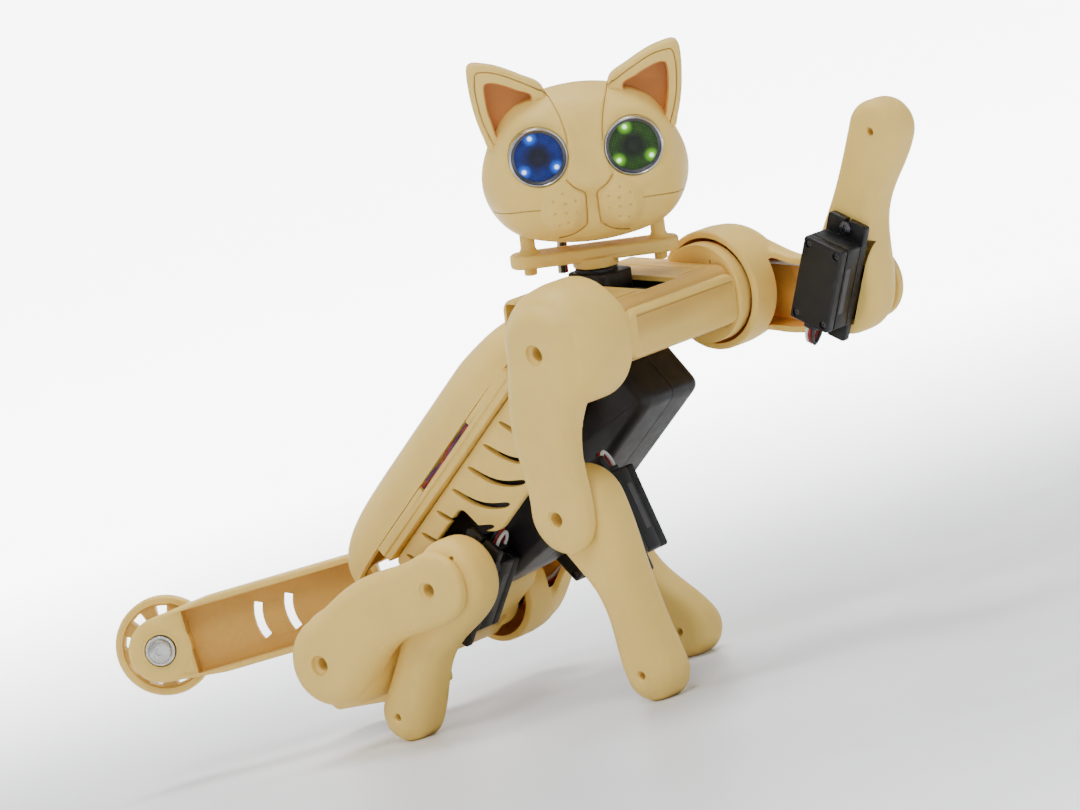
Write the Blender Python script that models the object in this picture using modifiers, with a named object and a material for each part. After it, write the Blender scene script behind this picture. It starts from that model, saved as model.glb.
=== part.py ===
"""Desk-top robot cat on micro servos, standing on three paws with its left front paw raised.

World axes: +X is the way the chest faces, +Y the cat's left, +Z up.  Lengths are in millimetres
and become metres in mm().  The rest pose is set by the angles in LIMBS, SPINE_PITCH, HEAD_PAN
and TAIL_SWING.
"""

import math

import bmesh
import bpy
from mathutils import Matrix, Vector

OBJECT_NAME = "robot_cat"

# ---- driving dimensions, in millimetres and degrees ----
THIGH_LENGTH = 45.0
SHANK_LENGTH = 45.0
SPINE_LENGTH = 129.0
SPINE_PITCH = 31.65
PAW_RADIUS = 7.8
HIP_X, HIP_Z = -55.0, 27.5
NECK_TO_SPINE = 45.0          # the shoulder module leans forward by this much from the spine
HEAD_PAN = -45.0
NECK_X = -16.0                # neck axis, behind the shoulder axis
TAIL_SWING = 40.0
TAIL_LENGTH = 60.0
TAIL_PIVOT = (-76.0, 0.0, 39.0)
ROOT_AT = (4.05, 0.55, -0.8)    # puts the soles on Z = 0 and the middle of the whole cat over the origin

# distances from the middle plane
HOUSING_HALF = 24.6           # shoulder and hip housings
TORSO_HALF = 22.0             # cover, tray and rails
PANEL_OUT, PANEL_IN = 19.8, 17.8
BATTERY_HALF = 11.2
RIM_Y = 25.0
SHANK_IN, SHANK_OUT = 22.4, 34.7
THIGH_IN, THIGH_OUT = 35.1, 45.0
THIGH_KNEE_TAPER = 0.5        # share of its depth that the thigh has lost at the knee
WALL = 1.8
GAP = 0.3

# micro servo: heights above and below the upper face of its ears
SERVO_LENGTH, SERVO_WIDTH = 22.8, 12.2
SERVO_SHAFT_INSET = 6.1
SERVO_BELOW, SERVO_EAR, SERVO_ABOVE = 8.6, 2.0, 5.6
SERVO_EAR_REACH = 4.7         # how far an ear stands out past the case
SERVO_CLIPPED_EAR = 2.2       # the same inside the housings, where the ears are cut short
SERVO_HUMP = 14.0             # length of the gear case above the ears
SERVO_BOSS_R, SERVO_BOSS_H = 5.6, 1.0
SERVO_SPLINE_R, SERVO_SPLINE_H = 2.4, 3.0
SERVO_FIT = 0.3
SERVO_SEAT = 21.9             # the ears of a shoulder or hip servo, from the middle plane
NECK_SEAT = 5.2               # the neck servo's ears, sunk into the housing's top
TAIL_SEAT = 19.0              # the tail servo's ears, above the floor of the root frame

# torso, heights out of the back from the line through the hips and shoulders
RAIL_LOW, RAIL_HIGH = 10.8, 15.6
TRAY_FLOOR, TRAY_INSIDE = 8.8, 11.0
TRAY_START, TRAY_END = 22.0, 97.0
COVER_START, COVER_END = 1.5, 104.0
COVER_TOP = 33.0
COVER_WALL = 1.6
SLOT_FIRST, SLOT_PITCH, SLOT_COUNT = 26.8, 9.35, 7
SLOT_HIGH, SLOT_LOW, SLOT_LEAN, SLOT_WIDTH = 8.6, -7.5, 12.7, 1.8
ARCH_TOP, ARCH_END = 3.6, 53.0    # cut in the side panels that the knee servos swing through
BATTERY_END, BATTERY_LOW, BATTERY_HIGH = 119.0, -19.2, 8.4

HIP_HOUSING = {"middle": 5.3, "half_length": 16.0, "half_height": 8.2}
HOUSING_WALL = 1.3
MODULE_FRONT, MODULE_REAR = 10.0, -28.0
MODULE_HALF_HEIGHT = 8.2

# head, heights above the shoulder module's middle along the neck axis
PLATE_LOW, PLATE_HIGH = 13.8, 17.4
PLATE_HALF = 22.0
POST_Y = 17.0
CHIN_Z, CROWN_Z = 18.9, 60.2
HEAD_HALF_X, HEAD_HALF_Y = 17.0, 26.8
HEAD_WALL = 1.8
EYE_Y, EYE_Z, EYE_FRONT = 12.2, 44.7, 15.8
EYE_R = 7.6
EAR_OUTLINE = [(7.0, 57.5), (24.0, 47.0), (27.2, 58.0), (27.4, 67.6), (26.4, 68.9), (22.5, 67.8),
               (12.0, 62.5)]
EAR_INNER = [(11.5, 59.0), (23.2, 52.0), (25.2, 59.0), (25.3, 65.6), (21.8, 65.0)]

# limbs: half-widths at the near and far joints, and how far the two sides bow
THIGH = {"length": THIGH_LENGTH, "near": 12.3, "far": 9.7, "bow_out": 2.6, "bow_in": -4.6}
SHANK = {"length": SHANK_LENGTH, "near": 11.3, "far": PAW_RADIUS, "bow_out": -0.8, "bow_in": -4.6}
HIP_DOME = [(0.0, 44.0), (6.0, 43.6), (11.0, 41.4), (13.4, 37.5), (14.0, 32.0), (14.0, RIM_Y),
            (12.2, RIM_Y), (12.2, 33.0), (11.0, 37.8), (7.5, 40.6), (0.0, 41.2)]
FRONT_DOME_GROW = 2.0          # the shoulder domes are wider than the hip domes by this much
HIP_BOSS_R = 5.4
SCREW_HOLE_R = 1.9
HORN_LOW = SERVO_SEAT + SERVO_ABOVE + SERVO_BOSS_H + GAP
HORN_HIGH = HORN_LOW + 2.4
KNEE_BOSS_END = SHANK_IN - GAP + SERVO_ABOVE + SERVO_BOSS_H + 0.4
ROUND_ANGLES = [math.radians(a) for a in (0, 45, 90)]

# tail
TAIL_HALF_HEIGHT = 10.8
TAIL_END_R = 9.0
TAIL_DEPTH = 7.0
TAIL_SLOTS = (22.7, 31.5)
WHEEL_R = 14.0
WHEEL_LOW, WHEEL_HIGH = -10.8, -6.6

# limb: side (+1 left), bend (+1 hind, -1 front), thigh and shank angles above +X at rest
LIMBS = {
    "front_right": (-1, -1, -108.7, -79.5),
    "front_left": (1, -1, -10.5, 56.8),
    "hind_right": (-1, 1, 17.5, -133.14),
    "hind_left": (1, 1, 23.5, -55.86),
}

COLOURS = {
    "ivory": ((0.76, 0.63, 0.33), 0.5, 0.0),
    "ear_tan": ((0.48, 0.24, 0.08), 0.55, 0.0),
    "servo_black": ((0.014, 0.014, 0.017), 0.42, 0.0),
    "battery_black": ((0.02, 0.02, 0.022), 0.55, 0.0),
    "steel": ((0.6, 0.6, 0.62), 0.3, 1.0),
    "eye_silver": ((0.72, 0.73, 0.75), 0.25, 1.0),
    "eye_mesh": ((0.05, 0.06, 0.08), 0.45, 0.6),
    "board_green": ((0.03, 0.12, 0.07), 0.5, 0.0),
    "wire": ((0.03, 0.02, 0.02), 0.5, 0.0),
}


def mm(*values):
    return Vector(v * 0.001 for v in values)


# ---- scene, collections, frames ----

def clear_scene():
    for item in list(bpy.data.objects):
        bpy.data.objects.remove(item, do_unlink=True)


def collection(name):
    made = bpy.data.collections.new(name)
    bpy.context.scene.collection.children.link(made)
    return made


def material(name):
    colour, roughness, metallic = COLOURS[name]
    made = bpy.data.materials.new(name)
    made.use_nodes = True
    shader = made.node_tree.nodes["Principled BSDF"]
    shader.inputs["Base Color"].default_value = (*colour, 1.0)
    shader.inputs["Roughness"].default_value = roughness
    shader.inputs["Metallic"].default_value = metallic
    return made


def frame(name, parent=None, at=(0, 0, 0), lift=0.0, turn=0.0):
    """An empty at a point; lift raises its X axis, turn then swings it about its own Z axis."""
    made = bpy.data.objects.new(name, None)
    PARTS.objects.link(made)
    made.parent = parent
    made.location = mm(*at)
    rotation = Matrix.Rotation(math.radians(-lift), 4, "Y") @ Matrix.Rotation(math.radians(turn), 4, "Z")
    made.rotation_euler = rotation.to_euler()
    return made


# ---- mesh makers ----

def evaluated_mesh(item):
    """The item's evaluated mesh, with the item itself removed."""
    depsgraph = bpy.context.evaluated_depsgraph_get()
    mesh = bpy.data.meshes.new_from_object(item.evaluated_get(depsgraph))
    bpy.data.objects.remove(item, do_unlink=True)
    return mesh


def weld(mesh, flatten=True, place=None):
    """Close a mesh's seams, turn its faces outward and move it by a 4x4 matrix."""
    work = bmesh.new()
    work.from_mesh(mesh)
    bmesh.ops.remove_doubles(work, verts=work.verts, dist=1e-6)
    if flatten:
        bmesh.ops.dissolve_limit(work, angle_limit=0.002, verts=work.verts, edges=work.edges)
    if place is not None:
        bmesh.ops.transform(work, matrix=place, verts=work.verts)
    bmesh.ops.recalc_face_normals(work, faces=work.faces)
    work.to_mesh(mesh)
    work.free()
    return mesh


AXIS_MAPS = {
    "Z": Matrix.Identity(4),
    "Y": Matrix(((1, 0, 0, 0), (0, 0, 1, 0), (0, 1, 0, 0), (0, 0, 0, 1))),
    "X": Matrix(((0, 0, 1, 0), (1, 0, 0, 0), (0, 1, 0, 0), (0, 0, 0, 1))),
}


def prism(outline, low, high, along):
    """Extrude an outline from low to high along X, Y or Z; it is drawn in the other two axes."""
    data = bpy.data.curves.new("outline", "CURVE")
    data.dimensions = "2D"
    data.fill_mode = "BOTH"
    data.extrude = abs(high - low) * 0.0005
    spline = data.splines.new("POLY")
    spline.points.add(len(outline) - 1)
    for point, (a, b) in zip(spline.points, outline):
        point.co = (a * 0.001, b * 0.001, 0, 1)
    spline.use_cyclic_u = True
    item = bpy.data.objects.new("outline", data)
    PARTS.objects.link(item)
    shift = Matrix.Translation((0, 0, (low + high) * 0.0005))
    return weld(evaluated_mesh(item), place=AXIS_MAPS[along] @ shift)


def box(low, high):
    """A box between two corners."""
    work = bmesh.new()
    bmesh.ops.create_cube(work, size=1.0)
    size = [h - l for l, h in zip(low, high)]
    middle = [(h + l) / 2 for l, h in zip(low, high)]
    bmesh.ops.scale(work, vec=mm(*size), verts=work.verts)
    bmesh.ops.translate(work, vec=mm(*middle), verts=work.verts)
    mesh = bpy.data.meshes.new("box")
    work.to_mesh(mesh)
    work.free()
    return mesh


def cylinder(radius, low, high, along, centre=(0, 0), sides=20, top_radius=None):
    """A cylinder or cone from low to high along an axis, round a centre in the other two axes."""
    work = bmesh.new()
    top = radius if top_radius is None else top_radius
    bmesh.ops.create_cone(
        work, cap_ends=True, segments=sides, radius1=radius * 0.001, radius2=top * 0.001,
        depth=(high - low) * 0.001,
    )
    shift = Matrix.Translation(mm(centre[0], centre[1], (low + high) / 2))
    bmesh.ops.transform(work, matrix=AXIS_MAPS[along] @ shift, verts=work.verts)
    bmesh.ops.recalc_face_normals(work, faces=work.faces)
    mesh = bpy.data.meshes.new("cylinder")
    work.to_mesh(mesh)
    work.free()
    return mesh


def turned(profile, along, steps=24):
    """Turn a closed (radius, height) profile about an axis with a Screw modifier."""
    mesh = bpy.data.meshes.new("turned")
    points = [mm(radius, 0, height) for radius, height in profile]
    edges = [(i, i + 1) for i in range(len(points) - 1)]
    if profile[0][0] > 0 or profile[-1][0] > 0:
        edges.append((len(points) - 1, 0))
    mesh.from_pydata(points, edges, [])
    item = bpy.data.objects.new("turned", mesh)
    PARTS.objects.link(item)
    screw = item.modifiers.new("Screw", "SCREW")
    screw.axis = "Z"
    screw.steps = steps
    screw.render_steps = steps
    screw.use_merge_vertices = True
    screw.merge_threshold = 0.00001
    return weld(evaluated_mesh(item), flatten=False, place=AXIS_MAPS[along])


def tube(points, radius, resolution=2):
    """A cord through points, as a bevelled POLY curve with filled caps."""
    data = bpy.data.curves.new("tube", "CURVE")
    data.dimensions = "3D"
    data.bevel_depth = radius * 0.001
    data.bevel_resolution = resolution
    data.use_fill_caps = True
    spline = data.splines.new("POLY")
    spline.points.add(len(points) - 1)
    for point, place in zip(spline.points, points):
        point.co = (*mm(*place), 1)
    item = bpy.data.objects.new("tube", data)
    PARTS.objects.link(item)
    return weld(evaluated_mesh(item), flatten=False)


def smooth_route(points, steps):
    """Points on the smooth curve (Catmull-Rom) through a route's own points."""
    route = [Vector(p) for p in points]
    route = [2 * route[0] - route[1]] + route + [2 * route[-1] - route[-2]]
    found = []
    for i in range(1, len(route) - 2):
        a, b, c, d = route[i - 1:i + 3]
        for k in range(steps):
            t = k / steps
            found.append(
                0.5 * (2 * b + (c - a) * t + (2 * a - 5 * b + 4 * c - d) * t * t
                       + (3 * b - a - 3 * c + d) * t ** 3)
            )
    found.append(route[-2])
    return found


# ---- nodes ----

def node(name, mesh, parent, colour, joins=(), cuts=(), steps=(), bevel=0.0, bevel_segments=2):
    """A named part: a mesh, rounded, then joined with and cut by other meshes.

    steps is a list of (operation, meshes) for a part that needs them in another order.
    """
    item = bpy.data.objects.new(name, mesh)
    PARTS.objects.link(item)
    item.parent = parent
    mesh.materials.clear()
    mesh.materials.append(material(colour))
    mesh.name = name
    if bevel:
        add_bevel(item, bevel, bevel_segments)
    for operation, meshes in steps or (("UNION", joins), ("DIFFERENCE", cuts)):
        for other in meshes:
            tool = bpy.data.objects.new(f"{name}_tool", other)
            CUTTERS.objects.link(tool)
            tool.parent = parent
            tool.hide_render = True
            tool.display_type = "WIRE"
            change = item.modifiers.new(operation.title(), "BOOLEAN")
            change.operation = operation
            change.object = tool
            change.solver = "EXACT"
    return item


def add_bevel(item, width, segments, angle=50):
    bevel = item.modifiers.new("Bevel", "BEVEL")
    bevel.width = width * 0.001
    bevel.segments = segments
    bevel.limit_method = "ANGLE"
    bevel.angle_limit = math.radians(angle)


def beveled(mesh, width, segments=2, angle=50):
    """The mesh with its edges rounded, for use as a join or a cut."""
    item = bpy.data.objects.new("beveled", mesh)
    PARTS.objects.link(item)
    add_bevel(item, width, segments, angle)
    return weld(evaluated_mesh(item), flatten=False)


# ---- outlines ----

def arc(centre, radius, start, end, count):
    """Points on an arc, both ends included, angles in degrees."""
    found = []
    for k in range(count + 1):
        angle = math.radians(start + (end - start) * k / count)
        found.append((centre[0] + radius * math.cos(angle), centre[1] + radius * math.sin(angle)))
    return found


def rounded_box(half_a, half_b, radius, centre=(0, 0), count=3):
    """The outline of a rounded rectangle."""
    a, b = half_a - radius, half_b - radius
    found = []
    for quarter, (x, y) in enumerate(((a, b), (-a, b), (-a, -b), (a, -b))):
        corner = (centre[0] + x, centre[1] + y)
        found += arc(corner, radius, 90 * quarter, 90 * quarter + 90, count)
    return found


def limb_side(near, far, length, bow, count):
    """Half-width of a limb along its length, between its two round ends."""
    found = []
    for k in range(1, count):
        t = k / count
        ease = 3 * t * t - 2 * t ** 3
        width = near + (far - near) * ease + bow * (1 - math.cos(2 * math.pi * t)) / 2
        found.append((length * t, width))
    return found


def limb_outline(near, far, length, bow_out, bow_in, bend, grow=0.0, count=6, cap=6):
    """A bone shape: round ends and bowed sides; bow_out is on the +Z side when bend is +1."""
    near, far = near + grow, far + grow
    upper = limb_side(near, far, length, bow_out, count)
    lower = limb_side(near, far, length, bow_in, count)
    outline = arc((0, 0), near, 270, 90, cap)
    outline += upper
    outline += arc((length, 0), far, 90, -90, cap)
    outline += [(x, -z) for x, z in reversed(lower)]
    return [(x, bend * z) for x, z in outline]


# ---- servo ----

def servo_meshes(place, ear_reach):
    """The case, and the ears, gear case, boss and splined shaft that join it.

    The shaft points along +Z, the ears' upper face is at Z = 0 and the case runs along +X.
    """
    x_low, x_high = -SERVO_SHAFT_INSET, SERVO_LENGTH - SERVO_SHAFT_INSET
    half = SERVO_WIDTH / 2
    case = box((x_low, -half, -SERVO_BELOW - SERVO_EAR), (x_high, half, -0.2))
    ears = box((x_low - ear_reach, -half, -SERVO_EAR), (x_high + ear_reach, half, 0))
    hump = box((x_low, -half, -1), (x_low + SERVO_HUMP, half, SERVO_ABOVE))
    top = SERVO_ABOVE + SERVO_BOSS_H
    boss = cylinder(SERVO_BOSS_R, SERVO_ABOVE - 1, top, "Z", sides=16)
    spline = cylinder(SERVO_SPLINE_R, top - 0.5, top + SERVO_SPLINE_H, "Z", sides=10)
    for mesh in (case, ears, hump, boss, spline):
        mesh.transform(place)
        weld(mesh, flatten=False)
    return case, (ears, hump, boss, spline)


def servo(name, parent, at, shaft, body, ear_reach=SERVO_EAR_REACH):
    """A servo whose ears' upper face is at a point, with its shaft and body directions given."""
    shaft, body = Vector(shaft), Vector(body)
    side = shaft.cross(body)
    place = Matrix.Translation(mm(*at)) @ Matrix((body, side, shaft)).transposed().to_4x4()
    case, rest = servo_meshes(place, ear_reach)
    return node(name, case, parent, "servo_black", joins=rest)


# ---- torso, in the spine frame: X from hip to shoulder, Z out of the back ----

def back_cover(spine):
    """The long arched cover: cross-sections swept along the spine, drawn in at both ends."""
    rows, columns = 18, 14
    length = COVER_END - COVER_START
    rise = COVER_TOP - RAIL_HIGH - GAP
    work = bmesh.new()
    bmesh.ops.create_grid(work, x_segments=rows, y_segments=columns, size=0.5)
    for vertex in work.verts:
        along = (1 - math.cos(math.pi * (vertex.co.x + 0.5))) / 2
        across = vertex.co.y * math.pi
        end = max(0.0, 1 - abs(2 * along - 1) ** 6) ** 0.4
        half = (TORSO_HALF - 0.2) * (0.6 + 0.4 * end)
        height = rise * (0.3 + 0.7 * end) * (1 - 0.14 * max(0.0, along - 0.75) / 0.25)
        y = half * math.sin(across)
        z = height * abs(math.cos(across)) ** 0.8
        vertex.co = mm(COVER_START + length * along, y, RAIL_HIGH + GAP + z)
    mesh = bpy.data.meshes.new("back_cover")
    work.to_mesh(mesh)
    work.free()
    item = node("back_cover", mesh, spine, "ivory")
    shell = item.modifiers.new("Solidify", "SOLIDIFY")
    shell.thickness = COVER_WALL * 0.001
    shell.offset = -1.0
    return item


def chassis_tray(spine):
    """The tray that carries the board, with a rail down each side."""
    floor_half, rail_in = PANEL_IN - 0.4, 16.0
    right = [(floor_half, TRAY_FLOOR), (floor_half, RAIL_LOW), (TORSO_HALF, RAIL_LOW),
             (TORSO_HALF, RAIL_HIGH), (rail_in, RAIL_HIGH), (rail_in, TRAY_INSIDE)]
    section = right + [(-y, z) for y, z in reversed(right)]
    return node("chassis_tray", prism(section, TRAY_START, TRAY_END, "X"), spine, "ivory")


def slot_outline(start):
    """A curved slot that leans forward as it goes down, from its top end at a distance along the spine."""
    sides = []
    for sign in (-1, 1):
        edge = []
        for k in range(6):
            t = k / 5
            bow = 1.6 * math.sin(math.pi * t)
            half = SLOT_WIDTH / 2 * (1 - 0.5 * abs(2 * t - 1) ** 3)
            x = start + SLOT_LEAN * t - bow
            z = SLOT_HIGH + (SLOT_LOW - SLOT_HIGH) * t - bow
            edge.append((x + sign * half * 0.78, z + sign * half * 0.62))
        sides.append(edge)
    return sides[0] + sides[1][::-1]


def rib_panel(spine, side, name):
    """A side panel with a row of curved slots and an arch for the knee servo."""
    top = RAIL_LOW - 0.5
    outline = [(22, -5.5), (32.5, -2.5), (36, ARCH_TOP), (ARCH_END, ARCH_TOP), (54, -6), (58.5, -9.6), (98, -9.6), (104, -4),
               (104, 3), (96, top), (22, top)]
    mesh = prism(outline, side * PANEL_IN, side * PANEL_OUT, "Y")
    slots = [
        prism(slot_outline(SLOT_FIRST + SLOT_PITCH * k), side * (PANEL_IN - 1), side * (PANEL_OUT + 1), "Y")
        for k in range(SLOT_COUNT)
    ]
    return node(name, mesh, spine, "ivory", cuts=slots)


def battery_case(spine):
    """The slim battery box with rounded edges, its underside rising towards the rear."""
    outline = [(24, -4), (24, -9.5), (43, -16.5), (60, BATTERY_LOW), (BATTERY_END, BATTERY_LOW),
               (BATTERY_END, -3.0), (108, BATTERY_HIGH), (24, BATTERY_HIGH)]
    return node("battery_case", prism(outline, -BATTERY_HALF, BATTERY_HALF, "Y"), spine, "battery_black",
                bevel=2.8, bevel_segments=2)


def control_board(spine):
    """The board in the tray, with its chips and a connector row."""
    low = TRAY_INSIDE + 0.4
    top = low + 1.6
    board = box((28, -15, low), (92, 15, top))
    parts = [box((40, -7, top - 0.4), (54, 7, top + 1.2)), box((62, 4, top - 0.4), (70, 12, top + 1.0)),
             box((30, -14, top - 0.4), (90, -10.5, top + 2.4))]
    return node("control_board", board, spine, "board_green", joins=parts)


def hip_module(spine):
    """The rear cross-housing with the two hip servos."""
    h = HIP_HOUSING
    centre = (h["middle"], 0.0)
    outer = rounded_box(h["half_length"], h["half_height"], 4.0, centre=centre)
    inner = rounded_box(h["half_length"] - HOUSING_WALL, h["half_height"] - HOUSING_WALL, 0.6,
                        centre=centre, count=1)
    half = HOUSING_HALF
    node("hip_housing", prism(outer, -half, half, "Y"), spine, "ivory",
         cuts=[prism(inner, -half - 1, half + 1, "Y")])
    for name, side in (("left", 1), ("right", -1)):
        servo(f"hip_servo_{name}", spine, (0, side * SERVO_SEAT, 0), (0, side, 0), (1, 0, 0),
              SERVO_CLIPPED_EAR)


# ---- shoulder module, in its own frame: Z is the neck axis ----

def shoulder_module(module):
    """The front cross-housing with the shoulder servos, the neck servo and the chest cover."""
    half = HOUSING_HALF
    top = MODULE_HALF_HEIGHT
    length = (MODULE_FRONT - MODULE_REAR) / 2
    centre = ((MODULE_FRONT + MODULE_REAR) / 2, 0.0)
    outer = rounded_box(length, top, 3.5, centre=centre)
    inner = rounded_box(length - HOUSING_WALL, top - HOUSING_WALL, 0.6, centre=centre, count=1)
    core = prism(inner, -half - 1, half + 1, "Y")
    case_low, case_high = NECK_X - SERVO_SHAFT_INSET, NECK_X + SERVO_LENGTH - SERVO_SHAFT_INSET
    well_half = SERVO_WIDTH / 2 + SERVO_FIT
    reach = SERVO_EAR_REACH + SERVO_FIT
    well = box((case_low - reach, -well_half, NECK_SEAT - SERVO_EAR - GAP),
               (case_high + reach, well_half, top + 1))
    node("shoulder_housing", prism(outer, -half, half, "Y"), module, "ivory", cuts=[core, well])
    for name, side in (("left", 1), ("right", -1)):
        servo(f"shoulder_servo_{name}", module, (0, side * SERVO_SEAT, 0), (0, side, 0), (-1, 0, 0),
              SERVO_CLIPPED_EAR)
    servo("neck_servo", module, (NECK_X, 0, NECK_SEAT), (0, 0, 1), (1, 0, 0))
    face = rounded_box(21.5, top - 1.8, 3.0, count=3)
    front = prism(face, MODULE_FRONT + GAP, MODULE_FRONT + GAP + 1.9, "X")
    node("shoulder_front_cover", front, module, "ivory", bevel=0.7, bevel_segments=1)


# ---- head, in a frame on the neck axis: X is the way the face looks ----

def neck_plate(head):
    """The bar on the neck servo, with its hub, two posts up into the head and two pegs below."""
    bar = prism(rounded_box(4.5, PLATE_HALF, 4.0), PLATE_LOW, PLATE_HIGH, "Z")
    hub_low = NECK_SEAT + SERVO_ABOVE + SERVO_BOSS_H + GAP
    joins = [cylinder(6.0, hub_low, PLATE_LOW + 1, "Z")]
    for side in (-1, 1):
        place = (0, side * POST_Y)
        joins.append(cylinder(1.9, PLATE_HIGH - 1, 25.5, "Z", centre=place, sides=12))
        joins.append(cylinder(1.7, PLATE_LOW - 2.2, PLATE_LOW + 1, "Z", centre=place, sides=12))
    bore = cylinder(SERVO_SPLINE_R + 0.25, hub_low - 1, PLATE_HIGH - 1.2, "Z", sides=12)
    return node("neck_plate", bar, head, "ivory", joins=joins, cuts=[bore])


def head_mesh(shrink, detail=3):
    """The cat's head as one rounded solid, narrowed at the chin and flattened at the face."""
    work = bmesh.new()
    bmesh.ops.create_cube(work, size=2.0)
    bmesh.ops.subdivide_edges(work, edges=work.edges, cuts=detail, use_grid_fill=True)
    for vertex in work.verts:
        x, y, z = vertex.co.normalized().lerp(vertex.co * 0.78, 0.3)
        y *= 1.0 - 0.10 * max(0.0, z) ** 2 - 0.12 * max(0.0, -z - 0.35)
        x *= 1.0 - 0.10 * max(0.0, z)
        vertex.co = (x, y, z)
    mesh = bpy.data.meshes.new("head")
    work.to_mesh(mesh)
    work.free()
    item = bpy.data.objects.new("head", mesh)
    PARTS.objects.link(item)
    smooth = item.modifiers.new("Subdivision", "SUBSURF")
    smooth.levels = 1
    smooth.render_levels = 1
    mesh = weld(evaluated_mesh(item), flatten=False)
    half_z = (CROWN_Z - CHIN_Z) / 2
    wanted = [half - shrink for half in (HEAD_HALF_X, HEAD_HALF_Y, half_z)]
    reach = [max(abs(v.co[axis]) for v in mesh.vertices) for axis in range(3)]
    scale = Matrix.Diagonal([0.001 * w / r for w, r in zip(wanted, reach)]).to_4x4()
    mesh.transform(Matrix.Translation(mm(0, 0, CHIN_Z + half_z)) @ scale)
    return mesh


def ear_prism(outline, side, low, high):
    return prism([(side * y, z) for y, z in outline], low, high, "X")


def head_shells(head):
    """Front and rear shells, parted at the seam, with ears on the front shell."""
    big = 60
    seam = GAP / 2
    behind = box((-big, -big, 0), (seam, big, 100))
    ahead = box((-seam, -big, 0), (big, big, 100))
    posts = [cylinder(2.3, 10, 26.0, "Z", centre=(0, side * POST_Y), sides=12) for side in (-1, 1)]
    ears = [beveled(ear_prism(EAR_OUTLINE, side, seam, 6.2), 0.8, 1) for side in (-1, 1)]
    recesses = [ear_prism(EAR_INNER, side, 4.4, 12.0) for side in (-1, 1)]
    eye_holes = [cylinder(EYE_R + GAP, 2, 40, "X", centre=(side * EYE_Y, EYE_Z), sides=24)
                 for side in (-1, 1)]
    node("face_shell", head_mesh(0.0), head, "ivory", joins=ears,
         cuts=[behind, head_mesh(HEAD_WALL, 2), *recesses, *eye_holes, *posts])
    node("head_rear_shell", head_mesh(0.0), head, "ivory",
         cuts=[ahead, head_mesh(HEAD_WALL, 2), *[mesh.copy() for mesh in posts]])
    for name, side in (("left", 1), ("right", -1)):
        insert = [(y * 0.94 + 1.35, z * 0.94 + 3.7) for y, z in EAR_INNER]
        node(f"ear_insert_{name}", ear_prism(insert, side, 4.4 + GAP, 5.3), head, "ear_tan")


def eyes(head):
    """The two sensor cans that serve as eyes, their mesh discs, and the board behind them."""
    for name, side in (("left", 1), ("right", -1)):
        centre = (side * EYE_Y, EYE_Z)
        can = cylinder(EYE_R, 5.4, EYE_FRONT, "X", centre=centre, sides=24)
        well = cylinder(EYE_R - 0.9, EYE_FRONT - 1.6, EYE_FRONT + 1, "X", centre=centre, sides=24)
        node(f"eye_can_{name}", can, head, "eye_silver", cuts=[well])
        disc = cylinder(EYE_R - 1.2, EYE_FRONT - 1.3, EYE_FRONT - 0.6, "X", centre=centre, sides=24)
        node(f"eye_mesh_{name}", disc, head, "eye_mesh")
    board = box((3.6, -EYE_Y - 6.5, EYE_Z - 10), (5.1, EYE_Y + 6.5, EYE_Z + 4))
    node("eye_board", board, head, "board_green", joins=[box((2.2, -5, EYE_Z - 8), (4, 5, EYE_Z - 4))])


def neck_cable(head):
    """The bundle of wires that goes up behind the plate into the head."""
    route = smooth_route([(-8.6, -7.0, 20.6), (-10.0, -7.6, 17.5), (-10.6, -8.0, 13.0), (-10.0, -8.2, 9.0)], 4)
    node("neck_cable", tube(route, 1.5), head, "wire")


# ---- limbs, each in a frame at its joint: X runs down the limb ----

def limb_solid(size, side, inner, outer, bend, grow=0.0, rounding=0.0, round_inner=False, slope=0.0):
    """A bone-shaped block between two depths, lofted through insets that round its edges.

    Its outer side falls towards the far end by the slope's share of the depth.
    """
    levels = [(inner, 0.0)]
    if round_inner:
        levels = [(inner + rounding * (1 - math.cos(a)), rounding * (1 - math.sin(a))) for a in ROUND_ANGLES]
    if rounding:
        levels += [(outer - rounding * (1 - math.sin(a)), rounding * (1 - math.cos(a))) for a in ROUND_ANGLES]
    else:
        levels.append((outer, 0.0))
    work = bmesh.new()
    rings = []
    for depth, inset in levels:
        outline = limb_outline(size["near"], size["far"], size["length"], size["bow_out"], size["bow_in"],
                               bend, grow=grow - inset)
        ring = []
        for x, z in outline:
            y = inner + (depth - inner) * (1 - slope * x / size["length"])
            ring.append(work.verts.new(mm(x, side * y, z)))
        rings.append(ring)
    for near_ring, far_ring in zip(rings, rings[1:]):
        for i, vertex in enumerate(near_ring):
            after = (i + 1) % len(near_ring)
            work.faces.new((vertex, near_ring[after], far_ring[after], far_ring[i]))
    work.faces.new(rings[0])
    work.faces.new(rings[-1])
    bmesh.ops.remove_doubles(work, verts=work.verts, dist=1e-6)
    bmesh.ops.recalc_face_normals(work, faces=work.faces)
    mesh = bpy.data.meshes.new("limb")
    work.to_mesh(mesh)
    work.free()
    return mesh


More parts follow.
